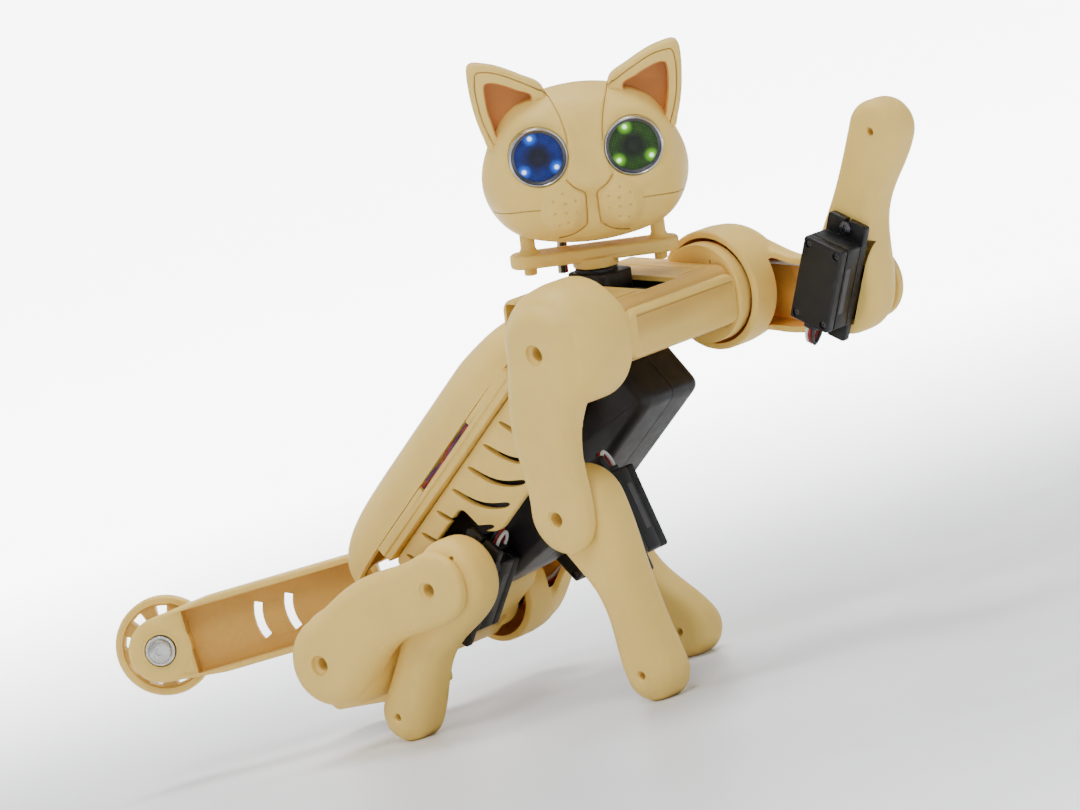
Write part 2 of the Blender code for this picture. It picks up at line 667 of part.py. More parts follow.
def thigh_shell(joint, side, bend, name):
    """The upper limb: a shell open on its inner side, with the hip dome that covers the servo."""
    size = THIGH
    taper = THIGH_KNEE_TAPER
    outer = limb_solid(size, side, THIGH_IN, THIGH_OUT, bend, rounding=4.0, slope=taper)
    wider = FRONT_DOME_GROW if bend < 0 else 0.0
    dome = turned([(r + wider * min(1.0, r / 11.0), side * y) for r, y in HIP_DOME], "Y", steps=16)
    hollow = limb_solid(size, side, THIGH_IN - 2, THIGH_OUT - 2.6, bend, grow=-WALL, slope=taper)
    bowl = turned([(0, side * 41.2), (7.5, side * 40.6), (11.0 + wider, side * 37.8), (12.2 + wider, side * 33),
                   (12.2 + wider, side * 20), (0, side * 20)], "Y", steps=16)
    hip_boss = cylinder(HIP_BOSS_R, *sorted((side * (HORN_HIGH + GAP), side * 43.5)), "Y", sides=16)
    knee_boss = cylinder(4.6, *sorted((side * KNEE_BOSS_END, side * 38.6)), "Y", centre=(THIGH_LENGTH, 0),
                         sides=16)
    hip_hole = cylinder(SCREW_HOLE_R, *sorted((side * (HORN_HIGH - 1), side * 50)), "Y", sides=14)
    knee_hole = cylinder(SCREW_HOLE_R, *sorted((side * (KNEE_BOSS_END + 3.6), side * 50)), "Y",
                         centre=(THIGH_LENGTH, 0), sides=14)
    socket = cylinder(SERVO_SPLINE_R + 0.2, *sorted((side * 20, side * (KNEE_BOSS_END + 4.0))), "Y",
                      centre=(THIGH_LENGTH, 0), sides=12)
    steps = (("UNION", (dome,)), ("DIFFERENCE", (hollow, bowl)), ("UNION", (hip_boss, knee_boss)),
             ("DIFFERENCE", (hip_hole, knee_hole, socket)))
    return node(f"thigh_{name}", outer, joint, "ivory", steps=steps)


def shank_shell(joint, side, bend, name, floor=None):
    """The lower limb, with the pocket for its servo in the inner face and a hole through the paw."""
    mesh = limb_solid(SHANK, side, SHANK_IN, SHANK_OUT, -bend, rounding=4.2, round_inner=True)
    half_width = SERVO_WIDTH / 2 + SERVO_FIT
    pocket_end = SHANK_IN - GAP + SERVO_ABOVE + 0.5
    pocket = box((-SERVO_SHAFT_INSET - SERVO_FIT, min(side * 20, side * pocket_end), -half_width),
                 (SERVO_LENGTH - SERVO_SHAFT_INSET + SERVO_FIT, max(side * 20, side * pocket_end), half_width))
    bore = cylinder(SERVO_BOSS_R + SERVO_FIT, *sorted((side * 28, side * 40)), "Y", sides=16)
    hole = cylinder(1.0, -40, 40, "Y", centre=(SHANK_LENGTH, 0), sides=10)
    ear_at = -SERVO_SHAFT_INSET - SERVO_EAR_REACH / 2
    ear_hole = cylinder(0.8, *sorted((side * 20, side * 40)), "Y", centre=(ear_at, 0), sides=10)
    cuts = [pocket, bore, hole, ear_hole]
    if floor is not None:
        cuts.append(floor)
    return node(f"shank_{name}", mesh, joint, "ivory", cuts=cuts)


def knee_cable(knee, side, name):
    """The servo's lead, looped back at the knee end of its case."""
    out, back = side * 13.1, side * 16.3
    middle = (out + back) / 2
    route = smooth_route([(-6.4, out, 0), (-9.4, out, 0), (-11.8, middle, 0), (-9.4, back, 0),
                          (-6.4, back, 0)], 3)
    node(f"knee_cable_{name}", tube(route, 0.9), knee, "wire")


def floor_cutter(at, thigh_angle, shank_angle):
    """A block below the floor, in the knee's frame, that leaves a small flat sole on the paw."""
    block = box((-200, -60, -20), (200, 60, -ROOT_AT[2]))
    knee_at = Vector(at) + rotated((THIGH_LENGTH, 0, 0), thigh_angle)
    place = Matrix.Translation(mm(*knee_at)) @ Matrix.Rotation(math.radians(-shank_angle), 4, "Y")
    block.transform(place.inverted())
    return block


def limb(name, side, bend, thigh_angle, shank_angle, at):
    hip = frame(f"{name}_upper_joint", ROOT, at, lift=thigh_angle)
    thigh_shell(hip, side, bend, name)
    span = sorted((side * HORN_LOW, side * HORN_HIGH))
    node(f"servo_horn_{name}", cylinder(6.6, *span, "Y", sides=16), hip, "servo_black",
         cuts=[cylinder(SERVO_SPLINE_R + 0.2, *sorted((side * 26, side * 40)), "Y", sides=12)])
    screw = sorted((side * (HORN_HIGH + 4.5), side * (HORN_HIGH + 7.5)))
    node(f"upper_screw_{name}", cylinder(1.6, *screw, "Y", sides=12), hip, "steel")
    screw = sorted((side * (KNEE_BOSS_END + 3.9), side * (KNEE_BOSS_END + 6.4)))
    node(f"knee_screw_{name}", cylinder(1.6, *screw, "Y", centre=(THIGH_LENGTH, 0), sides=12), hip, "steel")
    knee = frame(f"{name}_lower_joint", hip, (THIGH_LENGTH, 0, 0), lift=shank_angle - thigh_angle)
    standing = shank_angle < 0
    shank_shell(knee, side, bend, name, floor_cutter(at, thigh_angle, shank_angle) if standing else None)
    servo(f"knee_servo_{name}", knee, (0, side * (SHANK_IN - GAP), 0), (0, side, 0), (1, 0, 0))
    knee_cable(knee, side, name)


# ---- tail, in a frame on its swing axis: X runs along the tail ----

def tail_outline(length, grow=0.0):
    """A strip with a square near end and a round far end."""
    high, near = TAIL_HALF_HEIGHT + grow, -4.5 - grow
    corner = 3.0 + grow
    outline = [(length, high)] if length < TAIL_LENGTH else arc((length, 0), TAIL_END_R + grow, 78, -78, 8)
    if length < TAIL_LENGTH:
        outline.append((length, -high))
    else:
        outline = [(length - 16, high)] + outline + [(length - 16, -high)]
    outline += arc((near + corner, -high + corner), corner, 270, 180, 3)
    outline += arc((near + corner, high - corner), corner, 180, 90, 3)
    return outline


def tail_arm(tail):
    """An open channel with a round end boss, two curved slots and a hub over the swing servo."""
    body = prism(tail_outline(TAIL_LENGTH), -TAIL_DEPTH / 2, TAIL_DEPTH / 2, "Y")
    hollow = prism(tail_outline(TAIL_LENGTH - 8.5, grow=-WALL), -TAIL_DEPTH / 2 + WALL, TAIL_DEPTH, "Y")
    hub_low = TAIL_SEAT + SERVO_ABOVE + SERVO_BOSS_H + GAP - TAIL_PIVOT[2]
    hub = cylinder(5.0, hub_low, -TAIL_HALF_HEIGHT + 3, "Z", sides=16)
    bore = cylinder(SERVO_SPLINE_R + 0.25, hub_low - 1, hub_low + SERVO_SPLINE_H + 0.2, "Z", sides=12)
    cuts = [bore]
    for at in TAIL_SLOTS:
        centre = (at - 12, 0)
        curve = arc(centre, 11.0, -24, 24, 4) + arc(centre, 13.4, 24, -24, 4)
        cuts.append(prism(curve, -TAIL_DEPTH, TAIL_DEPTH, "Y"))
    cuts.append(cylinder(4.5, -TAIL_DEPTH, TAIL_DEPTH, "Y", centre=(TAIL_LENGTH, 0)))
    steps = (("DIFFERENCE", (hollow,)), ("UNION", (hub,)), ("DIFFERENCE", cuts))
    return node("tail_arm", body, tail, "ivory", steps=steps)


def tail_drive():
    """The swing servo and the bracket that holds it behind the hip housing, in the root frame."""
    x, _, z = TAIL_PIVOT
    servo("tail_servo", ROOT, (x, 0, TAIL_SEAT), (0, 0, 1), (-1, 0, 0), SERVO_CLIPPED_EAR)
    high = TAIL_SEAT - SERVO_EAR - GAP
    outline = [(x - 19.8, high), (x - 19.8, high - 6.0), (x - 17.5, high - 8.3), (x + 13.5, high - 8.3),
               (x + 15.0, high)]
    well_half = SERVO_WIDTH / 2 + SERVO_FIT
    well = box((x - SERVO_LENGTH + SERVO_SHAFT_INSET - SERVO_FIT, -well_half, 0),
               (x + SERVO_SHAFT_INSET + SERVO_FIT, well_half, 40))
    node("tail_bracket", prism(outline, -8.6, 8.6, "Y"), ROOT, "ivory", cuts=[well], bevel=0.8,
         bevel_segments=1)


def tail_end(tail):
    """The bearing and screw at the tail's end."""
    face = TAIL_DEPTH / 2
    bearing = [(4.2, -6.2), (4.2, face + 0.5), (1.9, face + 0.5), (1.9, -6.2)]
    mesh = turned(bearing, "Y", steps=20)
    mesh.transform(Matrix.Translation(mm(TAIL_LENGTH, 0, 0)))
    node("tail_bearing", mesh, tail, "steel")
    centre = (TAIL_LENGTH, 0)
    head = cylinder(3.2, face + 0.8, face + 2.0, "Y", centre=centre, sides=16)
    node("tail_screw", cylinder(1.6, -12.0, face + 1.4, "Y", centre=centre, sides=12), tail, "steel",
         joins=[head])


def tail_wheel(tail):
    """The spoked wheel behind the tail's end."""
    hub = frame("wheel_joint", tail, (TAIL_LENGTH, 0, 0))
    rim = cylinder(WHEEL_R, WHEEL_LOW, WHEEL_HIGH, "Y", sides=32)
    cuts = [cylinder(1.9, WHEEL_LOW - 1, WHEEL_HIGH + 1, "Y", sides=12)]
    for k in range(6):
        angle = 60 * k + 30
        slot = arc((0, 0), 5.0, angle - 18, angle + 18, 2) + arc((0, 0), 11.6, angle + 20, angle - 20, 4)
        cuts.append(prism(slot, WHEEL_LOW - 1, WHEEL_HIGH + 1, "Y"))
    node("tail_wheel", rim, hub, "ivory", cuts=cuts)


# ---- build ----

def rotated(point, lift):
    """A point given in a frame lifted by an angle, in the axes of the frame around it."""
    return Matrix.Rotation(math.radians(-lift), 3, "Y") @ Vector(point)


clear_scene()
PARTS = collection(OBJECT_NAME)
CUTTERS = collection("cutters")
ROOT = frame("root_frame", at=ROOT_AT)

SHOULDER = Vector((HIP_X, 0, HIP_Z)) + rotated((SPINE_LENGTH, 0, 0), SPINE_PITCH)
SPINE = frame("spine_frame", ROOT, (HIP_X, 0, HIP_Z), lift=SPINE_PITCH)
MODULE = frame("shoulder_frame", ROOT, SHOULDER, lift=SPINE_PITCH - NECK_TO_SPINE)
HEAD = frame("neck_joint", MODULE, (NECK_X, 0, 0), turn=HEAD_PAN)
TAIL = frame("tail_joint", ROOT, TAIL_PIVOT, turn=180 + TAIL_SWING)

back_cover(SPINE)
chassis_tray(SPINE)
rib_panel(SPINE, 1, "rib_panel_left")
rib_panel(SPINE, -1, "rib_panel_right")
battery_case(SPINE)
control_board(SPINE)
hip_module(SPINE)
shoulder_module(MODULE)
neck_plate(HEAD)
head_shells(HEAD)
eyes(HEAD)
neck_cable(HEAD)
for limb_name, (side, bend, thigh_angle, shank_angle) in LIMBS.items():
    place = (HIP_X, 0, HIP_Z) if bend > 0 else tuple(SHOULDER)
    limb(limb_name, side, bend, thigh_angle, shank_angle, place)
tail_drive()
tail_arm(TAIL)
tail_end(TAIL)
tail_wheel(TAIL)
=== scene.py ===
"""The looks of the robot cat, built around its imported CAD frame.

Every piece is drawn in millimetres in the frame of the joint or housing that it belongs to, and
placed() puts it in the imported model's own frame, in metres.
"""

import math

import bmesh
import bpy
from mathutils import Matrix, Vector
from mathutils.bvhtree import BVHTree


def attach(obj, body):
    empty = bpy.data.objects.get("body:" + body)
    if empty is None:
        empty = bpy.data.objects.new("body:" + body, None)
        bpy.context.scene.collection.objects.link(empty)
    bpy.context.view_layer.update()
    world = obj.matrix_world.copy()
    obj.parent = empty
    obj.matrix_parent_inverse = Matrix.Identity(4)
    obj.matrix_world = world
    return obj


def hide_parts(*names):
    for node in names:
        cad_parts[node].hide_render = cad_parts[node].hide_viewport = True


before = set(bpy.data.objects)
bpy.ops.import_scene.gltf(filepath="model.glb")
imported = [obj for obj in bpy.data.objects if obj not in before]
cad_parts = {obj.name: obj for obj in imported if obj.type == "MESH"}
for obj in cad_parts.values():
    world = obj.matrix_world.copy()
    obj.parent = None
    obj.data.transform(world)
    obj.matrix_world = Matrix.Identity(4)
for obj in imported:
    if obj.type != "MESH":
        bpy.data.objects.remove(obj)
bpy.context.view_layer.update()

# ---- driving dimensions, the same as the CAD's: millimetres and degrees ----
THIGH_LENGTH = SHANK_LENGTH = 45.0
SPINE_LENGTH, SPINE_PITCH = 129.0, 31.65
PAW_RADIUS = 7.8
HIP_X, HIP_Z = -55.0, 27.5
NECK_TO_SPINE, HEAD_PAN, NECK_X = 45.0, -45.0, -16.0
TAIL_SWING, TAIL_LENGTH, TAIL_PIVOT = 40.0, 60.0, (-76.0, 0.0, 39.0)
ROOT_AT = (4.05, 0.55, -0.8)
HOUSING_HALF, TORSO_HALF = 24.6, 22.0
PANEL_OUT, PANEL_IN = 19.8, 17.8
BATTERY_HALF = 11.2
RIM_Y = 25.0
SHANK_IN, SHANK_OUT = 22.4, 34.7
THIGH_IN, THIGH_OUT, THIGH_TAPER = 35.1, 45.0, 0.5
WALL, GAP = 1.8, 0.3
SERVO_LENGTH, SERVO_WIDTH, SHAFT_INSET = 22.8, 12.2, 6.1
SERVO_BELOW, SERVO_EAR, SERVO_ABOVE = 8.6, 2.0, 5.6
EAR_REACH, CLIPPED_EAR = 4.7, 2.2
SERVO_HUMP, BOSS_R, BOSS_H, SPLINE_R, SPLINE_H = 14.0, 5.6, 1.0, 2.4, 3.0
SERVO_SEAT, NECK_SEAT, TAIL_SEAT = 21.9, 5.2, 19.0
RAIL_LOW, RAIL_HIGH = 10.8, 15.6
TRAY_FLOOR, TRAY_INSIDE, TRAY_START, TRAY_END = 8.8, 11.0, 22.0, 97.0
COVER_START, COVER_END, COVER_TOP, COVER_WALL = 1.5, 104.0, 33.0, 1.6
SLOT_FIRST, SLOT_PITCH, SLOT_COUNT = 26.8, 9.35, 7
SLOT_HIGH, SLOT_LOW, SLOT_LEAN, SLOT_WIDTH = 8.6, -7.5, 12.7, 1.8
ARCH_TOP, ARCH_END = 3.6, 53.0
BATTERY_END, BATTERY_LOW, BATTERY_HIGH = 119.0, -19.2, 8.4
HIP_MIDDLE, HIP_HALF_LENGTH, HIP_HALF_HEIGHT = 5.3, 16.0, 8.2
MODULE_FRONT, MODULE_REAR, MODULE_HALF_HEIGHT = 10.0, -28.0, 8.2
PLATE_LOW, PLATE_HIGH, PLATE_HALF, POST_Y = 13.8, 17.4, 22.0, 17.0
CHIN_Z, CROWN_Z, HEAD_HALF_X, HEAD_HALF_Y = 18.9, 60.2, 17.0, 26.8
FRONT_DOME_GROW = 2.0
EYE_Y, EYE_Z, EYE_FRONT, EYE_R = 12.2, 44.7, 15.8, 7.6
THIGH = {"length": THIGH_LENGTH, "near": 12.3, "far": 9.7, "bow_out": 2.6, "bow_in": -4.6}
SHANK = {"length": SHANK_LENGTH, "near": 11.3, "far": PAW_RADIUS, "bow_out": -0.8, "bow_in": -4.6}
SCREW_HOLE_R = 1.9
HORN_LOW = SERVO_SEAT + SERVO_ABOVE + BOSS_H + GAP
HORN_HIGH = HORN_LOW + 2.4
KNEE_BOSS_END = SHANK_IN - GAP + SERVO_ABOVE + BOSS_H + 0.4
TAIL_HALF_HEIGHT, TAIL_END_R, TAIL_DEPTH = 10.8, 9.0, 7.0
TAIL_SLOTS = (22.7, 31.5)
WHEEL_R, WHEEL_LOW, WHEEL_HIGH = 14.0, -10.8, -6.6
LIMBS = {
    "front_right": (-1, -1, -108.7, -79.5),
    "front_left": (1, -1, -10.5, 56.8),
    "hind_right": (-1, 1, 17.5, -133.14),
    "hind_left": (1, 1, 23.5, -55.86),
}


# ---- frames ----

def rotated(point, lift):
    return Matrix.Rotation(math.radians(-lift), 3, "Y") @ Vector(point)


def placed(base, at=(0, 0, 0), lift=0.0, turn=0.0):
    """A frame at a point; lift raises its X axis, turn then swings it about its own Z axis."""
    rotation = Matrix.Rotation(math.radians(-lift), 4, "Y") @ Matrix.Rotation(math.radians(turn), 4, "Z")
    return base @ Matrix.Translation(Vector(at)) @ rotation


MM = Matrix.Scale(0.001, 4)
ROOT = placed(MM, ROOT_AT)
SHOULDER = Vector((HIP_X, 0, HIP_Z)) + rotated((SPINE_LENGTH, 0, 0), SPINE_PITCH)
SPINE = placed(ROOT, (HIP_X, 0, HIP_Z), lift=SPINE_PITCH)
MODULE = placed(ROOT, SHOULDER, lift=SPINE_PITCH - NECK_TO_SPINE)
HEAD = placed(MODULE, (NECK_X, 0, 0), turn=HEAD_PAN)
TAIL = placed(ROOT, TAIL_PIVOT, turn=180 + TAIL_SWING)
WHEEL = placed(TAIL, (TAIL_LENGTH, 0, 0))


# ---- camera and lights ----

def shown(item):
    """The object, linked into the scene."""
    bpy.context.scene.collection.objects.link(item)
    return item


def camera():
    """The photograph's view: a long lens, slightly rolled."""
    azimuth, elevation, roll = (math.radians(a) for a in (44.3, 4.0, -16.7))
    distance, focal_pixels, photo_width = 1.2914, 4888.6, 1080
    target = Vector((0.01205, 0.00055, 0.0775))
    out = Vector((math.sin(azimuth) * math.cos(elevation), -math.cos(azimuth) * math.cos(elevation),
                  math.sin(elevation)))
    right = Vector((math.cos(azimuth), math.sin(azimuth), 0))
    up = out.cross(right)
    rolled_right = right * math.cos(roll) + up * math.sin(roll)
    rolled_up = up * math.cos(roll) - right * math.sin(roll)
    data = bpy.data.cameras.new("camera")
    data.sensor_width = 36.0
    data.lens = 36.0 * focal_pixels / photo_width
    data.clip_start, data.clip_end = 0.05, 30.0
    item = shown(bpy.data.objects.new("camera", data))
    matrix = Matrix((rolled_right, rolled_up, out)).transposed().to_4x4()
    matrix.translation = target + out * distance
    item.matrix_world = matrix
    bpy.context.scene.camera = item


def area_light(name, place, aim, size, power, colour=(1.0, 1.0, 1.0)):
    data = bpy.data.lights.new(name, "AREA")
    data.shape = "DISK"
    data.size = size
    data.energy = power
    data.color = colour
    item = shown(bpy.data.objects.new(name, data))
    item.location = place
    item.rotation_euler = (Vector(aim) - Vector(place)).to_track_quat("-Z", "Y").to_euler()


def lighting():
    world = bpy.data.worlds.new("studio")
    bpy.context.scene.world = world
    world.use_nodes = True
    shader = world.node_tree.nodes["Background"]
    shader.inputs["Color"].default_value = (1.0, 1.0, 1.0, 1.0)
    shader.inputs["Strength"].default_value = 0.24
    area_light("key", (0.8, -1.1, 1.9), (0, 0, 0.06), 0.8, 23, (1.0, 0.985, 0.955))
    area_light("fill", (-1.3, -1.0, 1.1), (0, 0, 0.08), 1.2, 5)
    area_light("top", (-0.2, 0.3, 1.8), (0, 0, 0.05), 0.9, 22)


# ---- mesh makers, in millimetres ----

def cleaned(mesh, distance=1e-4):
    work = bmesh.new()
    work.from_mesh(mesh)
    bmesh.ops.remove_doubles(work, verts=work.verts, dist=distance)
    bmesh.ops.recalc_face_normals(work, faces=work.faces)
    work.to_mesh(mesh)
    work.free()
    return mesh


def mesh_of(points, faces):
    mesh = bpy.data.meshes.new("piece")
    mesh.from_pydata([tuple(p) for p in points], [], faces)
    return cleaned(mesh)


def loft(rings, caps=True, closed=False):
    """Skin closed rings of equal length; closed joins the last ring to the first."""
    count = len(rings[0])
    points = [p for ring in rings for p in ring]
    faces = []
    pairs = list(zip(range(len(rings) - 1), range(1, len(rings))))
    if closed:
        pairs.append((len(rings) - 1, 0))
    for a, b in pairs:
        for i in range(count):
            j = (i + 1) % count
            faces.append((a * count + i, a * count + j, b * count + j, b * count + i))
    if caps and not closed:
        faces.append(tuple(range(count)))
        faces.append(tuple(range((len(rings) - 1) * count, len(rings) * count)))
    return mesh_of(points, faces)


def applied(mesh, *changes):
    """The mesh after a list of (modifier type, settings)."""
    item = shown(bpy.data.objects.new("work", mesh))
    for kind, settings in changes:
        modifier = item.modifiers.new(kind, kind)
        for key, value in settings.items():
            setattr(modifier, key, value)
    depsgraph = bpy.context.evaluated_depsgraph_get()
    made = bpy.data.meshes.new_from_object(item.evaluated_get(depsgraph))
    bpy.data.objects.remove(item, do_unlink=True)
    return made


def combined(mesh, operation, others, solver="MANIFOLD"):
    """Join, cut or intersect a closed mesh with others."""
    tools = []
    for other in others:
        tools.append(shown(bpy.data.objects.new("tool", other)))
    made = applied(mesh, *[("BOOLEAN", {"operation": operation, "object": tool, "solver": solver})
                           for tool in tools])
    for tool in tools:
        bpy.data.objects.remove(tool, do_unlink=True)
    return made


def cut(mesh, tools):
    return combined(mesh, "DIFFERENCE", tools)


def united(mesh, parts):
    return combined(mesh, "UNION", parts)


def joined(*meshes):
    """Several meshes as one, with no boolean."""
    work = bmesh.new()
    for mesh in meshes:
        work.from_mesh(mesh)
    made = bpy.data.meshes.new("joined")
    work.to_mesh(made)
    work.free()
    return made


def softened(mesh, voxel, passes):
    """Remeshed and smoothed, so that the joins of a moulded shape get fillets."""
    return applied(mesh, ("REMESH", {"mode": "VOXEL", "voxel_size": voxel}),
                   ("SMOOTH", {"factor": 0.5, "iterations": passes}))


def to_axis(a, b, depth, along):
    return {"X": (depth, a, b), "Y": (a, depth, b), "Z": (a, b, depth)}[along]


def arc(centre, radius, start, end, count):
    found = []
    for k in range(count + 1):
        angle = math.radians(start + (end - start) * k / count)
        found.append((centre[0] + radius * math.cos(angle), centre[1] + radius * math.sin(angle)))
    return found


def rounded_box(half_a, half_b, radius, centre=(0, 0), count=8):
    a, b = half_a - radius, half_b - radius
    found = []
    for quarter, (x, y) in enumerate(((a, b), (-a, b), (-a, -b), (a, -b))):
        found += arc((centre[0] + x, centre[1] + y), radius, 90 * quarter, 90 * quarter + 90, count)
    return found


def filleted(outline, radius, count=6):
    """A polygon with its corners rounded by about a radius."""
    found = []
    total = len(outline)
    for i in range(total):
        before, here, after = (Vector(outline[k % total]) for k in (i - 1, i, i + 1))
        one, two = (before - here), (after - here)
        reach = min(radius, one.length * 0.45, two.length * 0.45)
        a, b = here + one.normalized() * reach, here + two.normalized() * reach
        for k in range(count + 1):
            t = k / count
            found.append(tuple(a * (1 - t) ** 2 + here * 2 * t * (1 - t) + b * t * t))
    return found


def curve_through(points, steps, closed=False):
    """Points on the smooth curve (Catmull-Rom) through others."""
    route = [Vector(p) for p in points]
    if closed:
        route = [route[-1]] + route + route[:2]
    else:
        route = [2 * route[0] - route[1]] + route + [2 * route[-1] - route[-2]]
    found = []
    for i in range(1, len(route) - 2):
        a, b, c, d = route[i - 1:i + 3]
        for k in range(steps):
            t = k / steps
            found.append(0.5 * (2 * b + (c - a) * t + (2 * a - 5 * b + 4 * c - d) * t * t
                                + (3 * b - a - 3 * c + d) * t ** 3))
    if not closed:
        found.append(route[-2])
    return found


def inset(outline, distance):
    """The outline moved inward by a distance, with mitred corners."""
    total = len(outline)
    area = sum(outline[i - 1][0] * outline[i][1] - outline[i][0] * outline[i - 1][1] for i in range(total))
    sign = 1 if area > 0 else -1
    found = []
    for i in range(total):
        here = Vector(outline[i])
        one = here - Vector(outline[i - 1])
        two = Vector(outline[(i + 1) % total]) - here
        if one.length < 1e-6:
            one = two
        if two.length < 1e-6:
            two = one
        one, two = one.normalized(), two.normalized()
        left = Vector((-one.y, one.x)) + Vector((-two.y, two.x))
        if left.length < 1e-6:
            left = Vector((-one.y, one.x))
        left = left.normalized()
        spread = max(0.5, left.dot(Vector((-one.y, one.x))))
        found.append(tuple(here + left * sign * distance / spread))
    return found


def slab(outline, low, high, along, rounding=0.0, steps=4, both=True):
    """An outline given a depth along an axis, with its edges rounded."""
    low, high = sorted((low, high))
    levels = [(low, 0.0)]
    if rounding:
        angles = [math.pi / 2 * k / steps for k in range(steps + 1)]
        edge = [(rounding * (1 - math.sin(a)), rounding * (1 - math.cos(a))) for a in angles]
        if both:
            levels = [(low + depth, amount) for depth, amount in reversed(edge)]
        levels += [(high - depth, amount) for depth, amount in edge]
    else:
        levels.append((high, 0.0))
    rings = []
    for depth, amount in levels:
        ring = inset(outline, amount) if amount > 1e-6 else outline
        rings.append([to_axis(a, b, depth, along) for a, b in ring])
    return loft(rings)


def lathe(profile, along, centre=(0, 0), steps=48, closed=None):
    """Turn a (radius, height) profile about an axis."""
    rings = []
    for radius, height in profile:
        ring = []
        for k in range(steps):
            angle = 2 * math.pi * k / steps
            ring.append(to_axis(centre[0] + radius * math.cos(angle), centre[1] + radius * math.sin(angle),
                                height, along))
        rings.append(ring)
    ring_shaped = profile[0][0] > 0 and profile[-1][0] > 0 if closed is None else closed
    if not ring_shaped:
        return loft(rings, caps=profile[0][0] > 0 or profile[-1][0] > 0)
    return loft(rings, closed=True)


def rod(radius, low, high, along, centre=(0, 0), chamfer=0.3, steps=32):
    """A pin with rounded ends."""
    low, high = sorted((low, high))
    edge = [(radius - chamfer * (1 - math.cos(a)), chamfer * (1 - math.sin(a)))
            for a in (math.pi / 2 * k / 3 for k in range(4))]
    profile = [(0, low)] + [(r, low + h) for r, h in reversed(edge)]
    profile += [(r, high - h) for r, h in edge] + [(0, high)]
    return lathe(profile, along, centre, steps, closed=False)


def drill(radius, low, high, along, centre=(0, 0), steps=32, wide=0.0, wide_at=0.0, flare=0.6):
    """A cutter for a hole; wide is the radius of its flared mouth, which is at wide_at."""
    if not wide:
        return lathe([(0, low), (radius, low), (radius, high), (0, high)], along, centre, steps, closed=False)
    sign = 1 if wide_at > low else -1
    profile = [(0, low), (radius, low), (radius, wide_at - sign * flare), (wide, wide_at + sign * 0.05),
               (wide + 0.2, high), (0, high)]
    return lathe(profile, along, centre, steps, closed=False)


def tube(points, radius, sides=12):
    """A round cord through points."""
    route = [Vector(p) for p in points]
    rings = []
    side = None
    for i, point in enumerate(route):
        ahead = route[min(i + 1, len(route) - 1)] - route[max(i - 1, 0)]
        ahead.normalize()
        if side is None:
            side = ahead.orthogonal().normalized()
        side = (side - ahead * side.dot(ahead)).normalized()
        other = ahead.cross(side)
        rings.append([point + (side * math.cos(a) + other * math.sin(a)) * radius
                      for a in (2 * math.pi * k / sides for k in range(sides))])
    return loft(rings)


def turned(side, profile, at=(0, 0), steps=48, closed=False):
    """A piece turned about the Y axis, its heights given for the left side."""
    return lathe([(radius, side * height) for radius, height in profile], "Y", at, steps, closed)


def smooth(outline, steps=6, closed=False):
    """The smooth curve through the points of a flat outline."""
    return [tuple(p) for p in curve_through(outline, steps, closed)]


def block(one, other, rounding=0.0, along="Z", steps=3):
    """A box between two opposite corners, its upright edges and its ends rounded."""
    low, high = zip(*(sorted(pair) for pair in zip(one, other)))
    a, b, c = {"X": (1, 2, 0), "Y": (0, 2, 1), "Z": (0, 1, 2)}[along]
    half = [(high[k] - low[k]) / 2 for k in range(3)]
    middle = [(high[k] + low[k]) / 2 for k in range(3)]
    if rounding:
        outline = rounded_box(half[a], half[b], rounding, (middle[a], middle[b]), 4)
    else:
        outline = [(middle[a] + sa * half[a], middle[b] + sb * half[b])
                   for sa, sb in ((1, 1), (-1, 1), (-1, -1), (1, -1))]
    return slab(outline, low[c], high[c], along, rounding * 0.8, steps)


def cross_recess(at, along, length, width, low, high):
    """Two crossed slots for the recess of a screw's head; length and width are halves."""
    return [block(to_axis(at[0] - a, at[1] - b, low, along), to_axis(at[0] + a, at[1] + b, high, along))
            for a, b in ((length, width), (width, length))]


# ---- materials ----

class Shader:
    """A material under construction: short calls add its nodes, and where is the object's own place."""

    def __init__(self, name):
        self.material = bpy.data.materials.new(name)
        self.material.use_nodes = True
        self.tree = self.material.node_tree
        self.main = self.tree.nodes["Principled BSDF"]
        self.where = self.add("TexCoord").outputs["Object"]

    def add(self, kind, inputs=None, **settings):
        made = self.tree.nodes.new("ShaderNode" + kind)
        for key, value in settings.items():
            setattr(made, key, value)
        for key, value in (inputs or {}).items():
            self.feed(made, key, value)
        return made

    def feed(self, node, key, value):
        if isinstance(value, bpy.types.NodeSocket):
            self.tree.links.new(value, node.inputs[key])
        else:
            node.inputs[key].default_value = value

    def finished(self, **values):
        """The material, with inputs of its main shader set; an underscore stands for a space."""
        for key, value in values.items():
            self.feed(self.main, key.replace("_", " "), value)
        return self.material

    def math(self, operation, *values):
        return self.add("Math", dict(enumerate(values)), operation=operation).outputs[0]

    def vector(self, operation, *values):
        made = self.add("VectorMath", dict(enumerate(values)), operation=operation)
        return made.outputs["Value"]

    def mixed(self, factor, one, two, blend="MIX"):
        made = self.add("Mix", {0: factor, 6: one, 7: two}, data_type="RGBA", blend_type=blend)
        return made.outputs[2]

    def ranged(self, value, from_low, from_high, to_low=0.0, to_high=1.0, smooth=False):
        made = self.add("MapRange", {"Value": value, "From Min": from_low, "From Max": from_high,
                                     "To Min": to_low, "To Max": to_high},
                        interpolation_type="SMOOTHSTEP" if smooth else "LINEAR")
        return made.outputs["Result"]

    def noise(self, scale, detail=2.0, rough=0.5, where=None):
        return self.add("TexNoise", {"Vector": where or self.where, "Scale": scale, "Detail": detail,
                                     "Roughness": rough}).outputs["Fac"]

    def bumped(self, height, strength, distance, invert=False):
        bump = self.add("Bump", {"Height": height, "Strength": strength, "Distance": distance})
        bump.invert = invert
        self.feed(self.main, "Normal", bump.outputs["Normal"])


